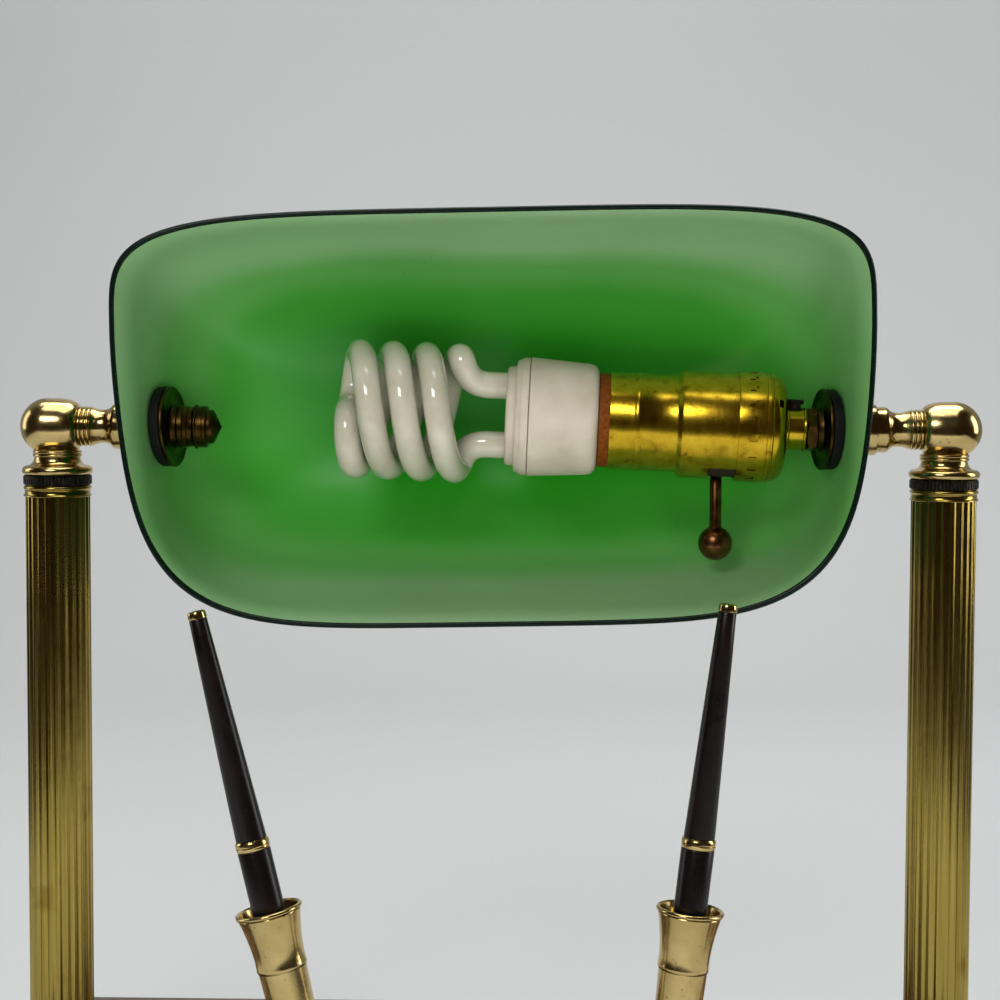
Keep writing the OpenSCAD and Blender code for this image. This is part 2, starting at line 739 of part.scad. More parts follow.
module outer_washers() {
    color(aged_brass) for (side = [-1, 1]) on_shade_side(side) difference() {
        union() {
            wall_disc(side, outer_washer_face, -washer_t, outer_washer_r);
            intersection() {
                along_x(outer_washer_face - 5)
                    cylinder(h = outer_hub_end - outer_washer_face + 5, r = hub_r);
                wall_disc(side, outer_washer_face, -12, outer_washer_r);
            }
        }
        axle_hole(pipe_r + run_gap);
    }
}

module glass_shade() {
    steps = 12;
    rings = 15;
    around = 4 * steps;
    corner = [for (q = [0:3], k = [0:steps - 1])
        [q, q % 2 == 0 ? ease(k / steps) : 90 - ease(k / steps)]];
    shares = [for (i = [0:rings - 1]) power(sin(ease(i / rings)), 2 / end_square)];
    function skin_points(skin) =
        [for (share = shares, c = corner) glass_point(c[0], c[1], share, skin)];
    function pole(skin) = [0, shade_depth - skin - mouth_front, middle_z];
    inner = rings * around;
    poles = 2 * inner;
    points = concat(skin_points(0), skin_points(glass_t), [pole(0), pole(glass_t)]);
    function flip(f) = [f[0], f[2], f[1]];
    function moved(f, by) = [for (v = f) v + by];
    outer_skin = [for (f = ring_faces(rings, around)) flip(f)];
    inner_skin = [for (f = ring_faces(rings, around)) moved(f, inner)];
    last = (rings - 1) * around;
    caps = [for (k = [0:around - 1]) let (n = (k + 1) % around)
        [[last + k, last + n, poles], [inner + last + n, inner + last + k, poles + 1]]];
    rim = [for (k = [0:around - 1]) let (n = (k + 1) % around)
        [[k, inner + k, inner + n], [k, inner + n, n]]];
    all_faces = concat(
        outer_skin, inner_skin,
        [for (c = caps) c[0]], [for (c = caps) c[1]],
        [for (r = rim) r[0]], [for (r = rim) r[1]]);
    color("green") difference() {
        translate([shade_shift, 0, axle_h]) rotate([0, -glass_lean, 0])
            polyhedron(points, all_faces);
        translate([shade_shift - mouth_l, 0, axle_h]) rotate([0, 90, 0])
            cylinder(h = 2 * mouth_l, r = glass_hole_r);
    }
}

module left_lock_nut() {
    color(aged_brass) translate([0, 0, axle_h]) on_side(-1) along_x(finial_x)
        ring(lock_nut_t, hub_r - 0.1, pipe_r + fit_gap);
}

module left_finial() {
    tip = finial_x - finial_l;
    cone_l = 2.8;
    step_l = 1.7;
    ridge = 0.5;
    ridge_at = 4;
    body_r = hub_r - 0.3;
    color(aged_brass) translate([0, 0, axle_h]) on_side(-1) difference() {
        union() {
            along_x(tip) cylinder(h = cone_l, r1 = 0.2, r2 = 5.6);
            along_x(tip + cone_l) cylinder(h = step_l, r = 5.6);
            along_x(tip + cone_l + step_l)
                cylinder(h = finial_l - cone_l - step_l - ridge_at + 1.2, r = body_r);
            along_x(finial_x - ridge_at) rotate_extrude()
                translate([body_r, 0]) circle(r = ridge, $fn = 24);
            along_x(finial_x - ridge_at + 1)
                cylinder(h = ridge_at - 1, r1 = body_r - 0.5, r2 = hub_r - 0.1);
        }
        along_x(finial_x - nipple_in - 0.3) cylinder(h = nipple_in + 1, r = pipe_r + fit_gap);
    }
}

module right_hex_nut() {
    color(aged_brass) translate([0, 0, axle_h]) along_x(socket_x) difference() {
        rotate(21) cylinder(h = hex_nut_t, r = hex_nut_r, $fn = 6);
        translate([0, 0, -lap]) cylinder(h = hex_nut_t + 2 * lap, r = pipe_r + fit_gap);
    }
}

module socket_cap() {
    inside = sheet_t;
    wide = cap_r - 0.5;
    dimple_n = 20;
    groove = 0.2;
    color(brass) on_socket() difference() {
        union() {
            translate([0, 0, 0.3]) cylinder(h = cap_neck_l, r = cap_neck_r);
            intersection() {
                translate([0, 0, cap_face]) cylinder(h = crimp_end - cap_face, r = wide);
                union() {
                    translate([0, 0, crimp_start]) rotate_extrude()
                        translate([wide - cap_round, 0]) circle(r = cap_round);
                    translate([0, 0, cap_face])
                        cylinder(h = crimp_end - cap_face, r = wide - cap_round);
                    translate([0, 0, crimp_start])
                        cylinder(h = crimp_end - crimp_start, r = wide);
                }
            }
            translate([0, 0, crimp_start - 0.8])
                cylinder(h = crimp_end - crimp_start + 0.8, r = cap_r);
        }
        translate([0, 0, -lap]) cylinder(h = cap_face + 3, r = pipe_r + 0.5);
        translate([0, 0, crimp_start]) rotate_extrude()
            translate([wide - cap_round, 0]) circle(r = cap_round - inside);
        translate([0, 0, cap_face + inside])
            cylinder(h = crimp_end, r = wide - cap_round);
        translate([0, 0, crimp_start]) cylinder(h = crimp_end, r = shell_r + fit_gap);
        translate([0, 0, crimp_start + 1]) ring(1.2, cap_r + lap, cap_r - groove);
        for (k = [0:dimple_n - 1]) rotate(360 * k / dimple_n)
            translate([cap_r - groove, -1.3, crimp_start + 5]) cube([1, 2.6, 2.6]);
        translate([cap_neck_r - 4, 0, set_screw_d]) rotate([0, 90, 0])
            cylinder(h = 6, r = set_screw_r + fit_gap);
        rotate(-61) translate([wide - 4, -1.35, crimp_start - 2.9]) cube([5, 2.7, 1.4]);
    }
}
module socket_set_screw() {
    tip = pipe_r + 0.6;
    color(black) on_socket() translate([0, 0, set_screw_d]) rotate([0, 90, 0])
        difference() {
            union() {
                translate([0, 0, tip]) cylinder(h = cap_neck_r + 1.2 - tip, r = set_screw_r);
                translate([0, 0, cap_neck_r + 0.9]) cylinder(h = 1.4, r = 2.95);
            }
            translate([-4, -0.35, cap_neck_r + 1.7]) cube([8, 0.7, 2]);
        }
}

module shell_shape(inset) {
    top = crimp_start + 0.8;
    r1 = shell_r - inset;
    r2 = shell_mouth_r - inset;
    polygon([[0, top - (inset > 0 ? 1 : 0)], [r1, top - (inset > 0 ? 1 : 0)],
        [r1, shell_step - shell_slope / 2 - inset * 0.4],
        [r2, shell_step + shell_slope / 2 - inset * 0.4],
        [r2, socket_l + (inset > 0 ? 1 : 0)], [0, socket_l + (inset > 0 ? 1 : 0)]]);
}

module socket_shell() {
    color(brass) on_socket() difference() {
        union() {
            rotate_extrude() shell_shape(0);
            translate([0, 0, bead_at]) rotate_extrude()
                translate([shell_mouth_r - 1.1, 0]) circle(r = 1.5, $fn = 32);
        }
        rotate_extrude() shell_shape(sheet_t);
        translate([-shell_r - 2, -slot_w / 2, crimp_end])
            cube([shell_r, slot_w, slot_end - crimp_end]);
    }
}

module socket_liner() {
    color("sienna") on_socket() translate([0, 0, shell_step + 1])
        ring(socket_l + liner_out - shell_step - 1, liner_r, liner_r - liner_t);
}

// Place of the lever's pivot and the lever itself, which hangs straight down
pivot_x = socket_x - pivot_d;
pivot_up = axle_h - pivot_drop;
module at_pivot() {
    translate([pivot_x, 0, pivot_up]) children();
}

module switch_block() {
    room = lever_hub_r + 0.5;
    color("ivory") difference() {
        on_socket() translate([0, 0, block_start]) cylinder(h = block_end - block_start, r = block_r);
        at_pivot() {
            rotate([90, 0, 0]) cylinder(h = 14, r = pin_r + run_gap, center = true);
            rotate([90, 0, 0]) cylinder(h = lever_hub_w + 2 * seat_gap, r = room, center = true);
            translate([-room, -lever_hub_w / 2 - seat_gap, -shell_r])
                cube([room + slot_reach, lever_hub_w + 2 * seat_gap, shell_r]);
        }
        on_socket() for (y = [-1, 1]) translate([4, y * 9, block_start - lap])
            cylinder(h = 5, r = 1.6);
        on_socket() translate([0, 0, block_end - 2]) ring(3, screw_shell_r + fit_gap, 9);
        on_socket() translate([0, 0, block_end - 3]) cylinder(h = 4, r = 3);
    }
}

module screw_shell() {
    color(brass) on_socket() difference() {
        translate([0, 0, block_end - 2]) cylinder(h = socket_l - block_end - 1, r = screw_shell_r);
        translate([0, 0, block_end - 1.6]) cylinder(h = socket_l, r = screw_shell_r - screw_shell_t);
        translate([0, 0, block_end - 3]) cylinder(h = 4, r = 9);
    }
}

module centre_contact() {
    color(aged_brass) on_socket() {
        translate([0, 0, block_end - 3]) cylinder(h = cap_tip - contact_t - block_end + 3.3, r = 2.8);
    }
}

module terminal_screws() {
    color(steel) on_socket() for (y = [-1, 1]) translate([4, y * 9, block_start]) {
        translate([0, 0, -1]) cylinder(h = 1, r = 2.6);
        translate([0, 0, -0.1]) cylinder(h = 4.4, r = 1.5);
    }
}

module lever_rod() {
    color("peru") at_pivot() {
        rotate([90, 0, 0]) cylinder(h = 12, r = pin_r, center = true);
        rotate([90, 0, 0]) cylinder(h = lever_hub_w, r = lever_hub_r, center = true);
        translate([0, 0, -lever_l + lever_ball_r - 4])
            cylinder(h = lever_l - lever_ball_r + 4, r = lever_r);
    }
}

module lever_ball() {
    color("peru") at_pivot() difference() {
        translate([0, 0, -lever_l]) sphere(r = lever_ball_r);
        translate([0, 0, -lever_l + lever_ball_r - 4.2]) cylinder(h = 6, r = lever_r + fit_gap);
    }
}

module bulb_housing() {
    edge = 3;
    color("white") on_socket() difference() {
        union() {
            translate([0, 0, housing_start]) cylinder(h = housing_l, r = housing_r - edge);
            translate([0, 0, housing_start + edge]) cylinder(h = housing_l - edge, r = housing_r);
            translate([0, 0, housing_start + edge]) rotate_extrude()
                translate([housing_r - edge, 0]) circle(r = edge);
        }
        translate([0, 0, housing_start - lap]) cylinder(h = 3 + lap, r = bulb_cap_r + fit_gap);
        translate([0, 0, housing_start + 5]) cylinder(h = housing_l - 5 + lap, r = housing_r - 2);
        translate([0, 0, housing_start + 2]) cylinder(h = 4, r = bulb_cap_r - 2);
    }
}

module bulb_collar() {
    color("white") on_socket() difference() {
        union() {
            translate([0, 0, housing_end - 3]) cylinder(h = 3 + lap, r = housing_r - 2 - fit_gap);
            translate([0, 0, housing_end]) cylinder(h = collar_d, r = collar_r2);
            translate([0, 0, legs_start]) cylinder(h = nose_d, r = nose_r);
        }
        for (s = [-1, 1]) translate([s * leg_off, 0, housing_end - 4])
            cylinder(h = collar_d + nose_d + 5, r = tube_r + fit_gap);
    }
}

// Middle line of the bulb's tube, drawn once and turned half round for the other half
function helix_point(a) = let (g = -180 + a)
    [spiral_r * cos(g), spiral_r * sin(g), spiral_start + spiral_pitch * a / 360];
function helix_way(a) = let (g = -180 + a)
    unit([-sin(g) * spiral_r, cos(g) * spiral_r, spiral_pitch / 360 * 180 / PI]);
function bezier(p, q, r, s, u) = pow(1 - u, 3) * p + 3 * u * pow(1 - u, 2) * q
    + 3 * u * u * (1 - u) * r + pow(u, 3) * s;
tube_ring_step = 18;
leg_bend = 9;
tip_bend = 12;
leg_point = [-leg_off, 0, nose_end + 6];
tip_point = [0, 0, tip_d];
helix_end = 360 * spiral_turns;
tip_side = cos(helix_end - 180);
half_path = concat(
    [[-leg_off, 0, housing_end - 2], [-leg_off, 0, nose_end], leg_point],
    [for (i = [1:7]) bezier(
        leg_point, leg_point + [0, 0, leg_bend],
        helix_point(0) - leg_bend * helix_way(0), helix_point(0), i / 8)],
    [for (a = [0:tube_ring_step:helix_end]) helix_point(a)],
    [for (i = [1:7]) bezier(
        helix_point(helix_end), helix_point(helix_end) + tip_bend * helix_way(helix_end),
        tip_point + [0, tip_side * tip_bend, 0], tip_point, i / 8)]);
last_half = len(half_path) - 1;
tube_path = concat(
    half_path, [tip_point],
    [for (i = [0:last_half]) let (p = half_path[last_half - i]) [-p[0], -p[1], p[2]]]);

module bulb_tube() {
    color("whitesmoke") on_socket() tube(tube_path, tube_r, 12, [0, 1, 0]);
}

module bulb_screw_cap() {
    neck = 3;
    color(steel) on_socket() {
        difference() {
            union() {
                translate([0, 0, cap_tip + neck])
                    cylinder(h = housing_start + 2.8 - cap_tip - neck, r = bulb_cap_r);
                translate([0, 0, cap_tip + 0.6]) cylinder(h = neck, r1 = 5.5, r2 = bulb_cap_r - 1);
            }
            translate([0, 0, cap_tip + neck + 1]) cylinder(h = housing_start - cap_tip, r = bulb_cap_r - 0.6);
        }
    }
}

module bulb_contact() {
    color(aged_brass) on_socket() translate([0, 0, cap_tip - contact_t + 0.6])
        cylinder(h = contact_t, r = 4.5);
}

module pen_plates() {
    color(brass) for (side = [-1, 1]) translate([side * pen_x, -pen_y, base_top]) difference() {
        cylinder(h = pen_plate_t, r = pen_plate_r);
        translate([0, 0, -lap]) cylinder(h = pen_plate_t + 2 * lap, r = stub_r + run_gap);
        for (a = [0, 120, 240]) rotate([0, 0, a + 90]) translate([pen_screw_at, 0, -lap])
            cylinder(h = pen_plate_t + 2 * lap, r = pen_screw_r + 0.2);
    }
}

module pen_plate_screws() {
    color(brass) pen_screw_places() {
        translate([0, 0, -pen_screw_l + 0.2])
            cylinder(h = pen_screw_l + pen_plate_t, r = pen_screw_r);
        translate([0, 0, pen_plate_t]) cylinder(h = 1, r = 2.2);
    }
}

module swivel() {
    ear_y = tongue_w / 2 + ear_gap;
    color(brass) translate([pen_x, -pen_y, 0]) difference() {
        union() {
            translate([0, 0, swivel_z]) cylinder(h = swivel_t, r = swivel_r);
            translate([0, 0, swivel_z - stub_l]) cylinder(h = stub_l + lap, r = stub_r);
            for (s = [-1, 1]) translate([0, s * (ear_y + ear_t / 2), pivot_z]) {
                rotate([90, 0, 0]) cylinder(h = ear_t, r = 4.2, center = true);
                translate([-4.2, -ear_t / 2, swivel_z + 1 - pivot_z])
                    cube([8.4, ear_t, pivot_z - swivel_z - 1]);
            }
        }
        translate([0, 0, pivot_z]) rotate([90, 0, 0])
            cylinder(h = 20, r = pivot_pin_r + fit_gap, center = true);
    }
}

module swivel_pin() {
    l = tongue_w + 2 * ear_gap + 2 * ear_t + 1.2;
    color(steel) translate([pen_x, -pen_y, pivot_z]) rotate([90, 0, 0])
        cylinder(h = l, r = pivot_pin_r, center = true);
}

module funnel(side) {
    color(brass) on_pen(side) difference() {
        union() {
            translate([0, 0, 8]) cylinder(h = 12, r1 = 6, r2 = 6.8);
            translate([0, 0, 20]) cylinder(h = 24, r1 = 6.8, r2 = 7.5);
            translate([0, 0, 44]) cylinder(h = funnel_l - 44, r1 = 7.5, r2 = funnel_r);
            translate([0, 0, funnel_l - 0.8]) rotate_extrude()
                translate([funnel_r - 0.5, 0]) circle(r = 0.8, $fn = 32);
            rotate([90, 0, 0]) cylinder(h = tongue_w, r = tongue_r, center = true);
            translate([-tongue_r, -tongue_w / 2, 0]) cube([2 * tongue_r, tongue_w, 9]);
        }
        rotate([90, 0, 0]) cylinder(h = 10, r = pivot_pin_r + run_gap, center = true);
        translate([0, 0, funnel_floor]) cylinder(h = funnel_l, r = barrel_r + 0.35);
        translate([0, 0, shoulder_d])
            cylinder(h = funnel_l - shoulder_d + 1, r1 = barrel_r + 0.35, r2 = funnel_r - 0.7);
    }
}

module pen_barrel(side) {
    color(black) on_pen(side) {
        translate([0, 0, pen_ring_top - pen_ring_h - 1]) cylinder(h = pen_ring_h + 2, r = core_r);
        translate([0, 0, pen_ring_top + fit_gap])
            cylinder(h = pen_top - pen_cap_l - pen_ring_top - 2 * fit_gap,
                r1 = pen_r, r2 = pen_end_r);
        translate([0, 0, shoulder_d])
            cylinder(h = pen_ring_top - pen_ring_h - shoulder_d - fit_gap, r = barrel_r);
        translate([0, 0, grip_end])
            cylinder(h = shoulder_d - grip_end + 0.1, r1 = 3.4, r2 = barrel_r - 0.3);
    }
}

module pen_trim(side) {
    color(brass) on_pen(side) {
        translate([0, 0, pen_top - pen_cap_l])
            cylinder(h = pen_cap_l, r1 = pen_end_r + 0.15, r2 = pen_end_r - 0.3);
        translate([0, 0, pen_ring_top - pen_ring_h])
            ring(pen_ring_h, barrel_r + 0.15, core_r + fit_gap);
    }
}

module pen_point(side) {
    color(steel) on_pen(side) translate([0, 0, pen_foot])
        cylinder(h = grip_end - pen_foot - fit_gap, r1 = 0.5, r2 = 2.4);
}

module supply_lead() {
    color("gold") tube(lead_route, lead_r, 8, [0, 1, 0]);
}

module left_post_foot() { on_side(-1) post_foot(); }
module right_post_foot() { post_foot(); }
module left_post_tube() { on_side(-1) post_tube(); }
module right_post_tube() { post_tube(); }
module left_tie_rod() { on_side(-1) tie_rod(); }
module right_tie_rod() { tie_rod(); }
module left_elbow() { on_side(-1) elbow(); }
module right_elbow() { elbow(); }
module left_arm() { on_side(-1) arm(-1); }
module right_arm() { arm(1); }
module left_nipple() { on_side(-1) nipple(-1); }
module right_nipple() { nipple(1); }
module left_swivel() { on_side(-1) swivel(); }
module right_swivel() { swivel(); }
module left_swivel_pin() { on_side(-1) swivel_pin(); }
module right_swivel_pin() { swivel_pin(); }
module left_funnel() { funnel(-1); }
module right_funnel() { funnel(1); }
module left_pen_barrel() { pen_barrel(-1); }
module right_pen_barrel() { pen_barrel(1); }
module left_pen_trim() { pen_trim(-1); }
module right_pen_trim() { pen_trim(1); }
module left_pen_point() { pen_point(-1); }
module right_pen_point() { pen_point(1); }

base_plinth();
base_weight();
bottom_cover();
rubber_feet();
cover_screws();
cord_bushing();
wire_connectors();
left_post_foot();
right_post_foot();
left_post_tube();
right_post_tube();
left_tie_rod();
right_tie_rod();
rod_nuts();
post_collars();
knurled_rings();
left_elbow();
right_elbow();
left_arm();
right_arm();
left_nipple();
right_nipple();
left_lock_nut();
left_finial();
right_hex_nut();
socket_cap();
socket_set_screw();
socket_shell();
socket_liner();
switch_block();
screw_shell();
centre_contact();
terminal_screws();
supply_lead();
pen_plates();
pen_plate_screws();
glass_shade();
inner_gaskets();
outer_gaskets();
inner_washers();
outer_washers();
lever_rod();
lever_ball();
bulb_housing();
bulb_collar();
bulb_tube();
bulb_screw_cap();
bulb_contact();
left_swivel();
right_swivel();
left_swivel_pin();
right_swivel_pin();
left_funnel();
right_funnel();
left_pen_barrel();
right_pen_barrel();
left_pen_trim();
right_pen_trim();
left_pen_point();
right_pen_point();
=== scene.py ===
import math

import bmesh
import bpy
from mathutils import Matrix, Vector


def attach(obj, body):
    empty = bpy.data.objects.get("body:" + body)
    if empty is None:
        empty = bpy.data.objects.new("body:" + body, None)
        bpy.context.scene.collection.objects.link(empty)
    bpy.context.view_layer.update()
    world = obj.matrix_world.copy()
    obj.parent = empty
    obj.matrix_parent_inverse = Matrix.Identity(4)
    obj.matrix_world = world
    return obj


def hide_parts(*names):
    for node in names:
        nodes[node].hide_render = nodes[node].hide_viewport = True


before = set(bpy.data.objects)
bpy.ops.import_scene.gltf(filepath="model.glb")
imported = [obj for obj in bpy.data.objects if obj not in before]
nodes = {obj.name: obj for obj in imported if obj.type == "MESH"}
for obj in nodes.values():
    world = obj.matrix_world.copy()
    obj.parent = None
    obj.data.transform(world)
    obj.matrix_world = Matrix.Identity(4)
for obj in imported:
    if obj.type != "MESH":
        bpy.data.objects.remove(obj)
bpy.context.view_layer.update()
MM = 0.001


# Wooden base
# A walnut board with a stepped, moulded edge, hollowed from below for the weight and the wiring.
# It is sawn, run past a moulding cutter, and finished in satin varnish that leaves the grain open.
def linear(colour):
    """An sRGB hex colour as the linear red, green, blue and alpha that the shaders take."""
    parts = [int(colour[i:i + 2], 16) / 255 for i in (1, 3, 5)]
    return tuple(c / 12.92 if c <= 0.04045 else ((c + 0.055) / 1.055) ** 2.4 for c in parts) + (1.0,)


def add(tree, kind, links=None, stops=None, **settings):
    """Adds a shader node: links are its inputs' numbers or other nodes' outputs, stops a ramp's colours."""
    made = tree.nodes.new("ShaderNode" + kind)
    for key, value in settings.items():
        setattr(made, key, value)
    for key, value in (links or {}).items():
        if isinstance(value, bpy.types.NodeSocket):
            tree.links.new(value, made.inputs[key])
        else:
            made.inputs[key].default_value = value
    for i, (at, colour) in enumerate(stops or []):
        stop = made.color_ramp.elements[i] if i < 2 else made.color_ramp.elements.new(at)
        stop.position = at
        stop.color = linear(colour) if isinstance(colour, str) else (colour, colour, colour, 1.0)
    return made


def finish(name, **values):
    """A new material: its values go on the shader's own sockets. Returns it, its tree and its shader."""
    made = bpy.data.materials.new(name)
    made.use_nodes = True
    shader = made.node_tree.nodes["Principled BSDF"]
    for key, value in values.items():
        shader.inputs[key.replace("_", " ")].default_value = value
    return made, made.node_tree, shader


def calm():
    """Goes back to object mode with nothing selected."""
    if bpy.context.object and bpy.context.object.mode != "OBJECT":
        bpy.ops.object.mode_set(mode="OBJECT")
    bpy.ops.object.select_all(action="DESELECT")


def take(*pieces):
    """Selects these pieces alone, the first one active."""
    calm()
    for piece in pieces:
        piece.select_set(True)
    bpy.context.view_layer.objects.active = pieces[0]


def pick(piece, kind, test):
    """In edit mode, selects the faces or verts of a piece that pass a test."""
    bpy.ops.mesh.select_all(action="DESELECT")
    shape = bmesh.from_edit_mesh(piece.data)
    for part in getattr(shape, kind):
        if test(part):
            part.select_set(True)
    shape.select_flush_mode()
    bmesh.update_edit_mesh(piece.data)


def worked(piece, kind, **settings):
    """Adds a modifier to a piece and applies it."""
    take(piece)
    made = piece.modifiers.new(kind, kind)
    for key, value in settings.items():
        setattr(made, key, value)
    bpy.ops.object.modifier_apply(modifier=made.name)
    return piece


def cut(piece, tool, operation="DIFFERENCE"):
    """Cuts a piece with a tool, or joins the tool to it, and throws the tool away."""
    worked(piece, "BOOLEAN", object=tool, operation=operation, solver="EXACT")
    bpy.data.objects.remove(tool)
    return piece


def rod(x, y, z, radius, length, axis="Z", sides=64):
    """A straight rod, mostly a drill, with its middle at x, y, z in mm."""
    calm()
    turn = {"X": (0, math.pi / 2, 0), "Y": (math.pi / 2, 0, 0), "Z": (0, 0, 0)}[axis]
    bpy.ops.mesh.primitive_cylinder_add(
        vertices=sides, radius=radius * MM, depth=length * MM,
        location=(x * MM, y * MM, z * MM), rotation=turn)
    return bpy.context.object


def block(low, high):
    """A block between two corners in mm."""
    calm()
    middle = [(a + b) / 2 * MM for a, b in zip(low, high)]
    bpy.ops.mesh.primitive_cube_add(size=1, location=middle)
    made = bpy.context.object
    made.scale = [(b - a) * MM for a, b in zip(low, high)]
    bpy.ops.object.transform_apply(location=False, rotation=False, scale=True)
    return made


def put(piece, place=None, smooth=32):
    """Fixes a piece's place in its mesh, turns its faces outwards if mirrored, and smooths its round faces."""
    take(piece)
    if place is not None:
        piece.matrix_world = place @ piece.matrix_world
    mirrored = piece.matrix_world.determinant() < 0
    bpy.ops.object.transform_apply(location=True, rotation=True, scale=True)
    if mirrored:
        bpy.ops.object.mode_set(mode="EDIT")
        bpy.ops.mesh.select_all(action="SELECT")
        bpy.ops.mesh.normals_make_consistent(inside=False)
        bpy.ops.object.mode_set(mode="OBJECT")
    bpy.ops.object.shade_smooth_by_angle(angle=math.radians(smooth))
    return piece


def fit(piece, name, material, body, slot, *replaced):
    """Names a piece, gives it its material, and says what carries it and what it stands for."""
    piece.name = name
    piece.data.materials.clear()
    piece.data.materials.append(material)
    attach(piece, body)
    if replaced:
        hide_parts(*replaced)
    return piece


def dress(material, *names):
    """Gives CAD nodes that keep their shape a material."""
    for name in names:
        nodes[name].data.materials.clear()
        nodes[name].data.materials.append(material)


base_l, base_w, base_foot, base_shelf, base_top = 360, 170, 3, 19, 27

# Black walnut under satin varnish: brown heartwood in long bands, dark pores, a soft shine on top
walnut, tree, shader = finish("varnished_walnut", Coat_Weight=0.25, Coat_Roughness=0.22)
where = add(tree, "TexCoord").outputs["Object"]
# Growth rings are some 6 mm apart and run the length of the board
long_way = add(tree, "Mapping", {"Vector": where, "Scale": (1.0, 9.0, 9.0)})
rings = add(tree, "TexNoise", {"Vector": long_way.outputs[0], "Scale": 9.0, "Detail": 5.0,
                               "Roughness": 0.55, "Distortion": 0.8})
bands = add(tree, "ValToRGB", {"Fac": rings.outputs["Fac"]},
            stops=[(0.3, "#2a160e"), (0.5, "#4b2b19"), (0.72, "#6d4527")])
# Pores are 0.3 mm wide and up to 10 mm long
fine_way = add(tree, "Mapping", {"Vector": where, "Scale": (1.0, 26.0, 26.0)})
pores = add(tree, "TexNoise", {"Vector": fine_way.outputs[0], "Scale": 90.0, "Detail": 2.0})
dark_pores = add(tree, "ValToRGB", {"Fac": pores.outputs["Fac"]}, stops=[(0.36, 0.35), (0.47, 1.0)])
mixed = add(tree, "Mix", {"Factor": 0.7, 6: bands.outputs[0], 7: dark_pores.outputs[0]},
            data_type="RGBA", blend_type="MULTIPLY")
tree.links.new(mixed.outputs[2], shader.inputs["Base Color"])
shine = add(tree, "MapRange", {"Value": pores.outputs["Fac"], "To Min": 0.5, "To Max": 0.34})
tree.links.new(shine.outputs[0], shader.inputs["Roughness"])
relief = add(tree, "Bump", {"Height": dark_pores.outputs[0], "Strength": 0.25, "Distance": 0.0002})
tree.links.new(relief.outputs[0], shader.inputs["Normal"])

def moulded(*steps):
    """From the chosen level face, runs a moulding: each step goes inwards and then up, in mm."""
    for inwards, rise in steps:
        if inwards:
            bpy.ops.mesh.inset(thickness=inwards * MM, depth=0)
            bpy.ops.transform.translate(value=(0, 0, rise * MM))
        else:
            bpy.ops.mesh.extrude_region_move(TRANSFORM_OT_translate={"value": (0, 0, rise * MM)})


def rounding(radius, steps=5):
    """The steps of a rounded edge, from an upright side over to a flat top."""
    angles = [math.pi / 2 * i / steps for i in range(steps + 1)]
    return [(radius * (math.cos(a) - math.cos(b)), radius * (math.sin(b) - math.sin(a)))
            for a, b in zip(angles, angles[1:])]


plinth = block((-base_l / 2, -base_w / 2, base_foot + 0.8), (base_l / 2, base_w / 2, base_shelf - 1))
bpy.ops.object.mode_set(mode="EDIT")
bpy.ops.mesh.select_mode(type="EDGE")
pick(plinth, "edges", lambda e: abs(e.verts[0].co.z - e.verts[1].co.z) > 0.01)
bpy.ops.mesh.bevel(offset=12 * MM, segments=8, affect="EDGES")
bpy.ops.mesh.select_mode(type="FACE")
pick(plinth, "faces", lambda f: f.normal.z > 0.9)
moulded(*rounding(1), (4.4, 0), (0.5, 0.15), (0.5, 0.45), (0.4, 0.9), (0.2, 2.9), (0, 1.2), *rounding(2.4))
pick(plinth, "faces", lambda f: f.normal.z < -0.9)
moulded(*[(inwards, -rise) for inwards, rise in rounding(0.8, 3)])
bpy.ops.mesh.select_mode(type="VERT")
bpy.ops.object.mode_set(mode="OBJECT")
cut(plinth, block((-164, -69, 1), (164, 69, base_foot + 1.5)))
cut(plinth, block((-158, -63, 2), (158, 63, 17)))
cut(plinth, rod(60, 74, 11.5, 6.05, 30, "Y"))
cut(plinth, rod(60, 85, 11.5, 7.25, 3.04, "Y"))
for x in (-145.5, 145.5):
    cut(plinth, rod(x, 0, 22, 5.3, 14))
fit(put(plinth), "walnut_plinth", walnut, "lamp", "walnut", "base_plinth")


# Weight, cover, screws, feet and wiring
# What is under the board: a zinc plated steel weight, a painted steel cover with its screws, and
# four rubber feet. The cord's bushing, the lead and its two twist-on connectors are plastic.
# Zinc plate is a dull blue-grey metal with faint spangle a few millimetres wide
zinc, tree, shader = finish("zinc_plated_steel", Metallic=1.0)
where = add(tree, "TexCoord").outputs["Object"]
spangle = add(tree, "TexVoronoi", {"Vector": where, "Scale": 320.0})
tone = add(tree, "ValToRGB", {"Fac": spangle.outputs["Distance"]},
           stops=[(0.0, "#b4b8bc"), (0.6, "#9da1a6")])
tree.links.new(tone.outputs[0], shader.inputs["Base Color"])
dull = add(tree, "MapRange", {"Value": spangle.outputs["Distance"], "To Min": 0.28, "To Max": 0.45})
tree.links.new(dull.outputs[0], shader.inputs["Roughness"])
dress(zinc, "base_weight", "cover_screws", "left_tie_rod", "right_tie_rod", "rod_nuts",
      "terminal_screws", "left_swivel_pin", "right_swivel_pin")

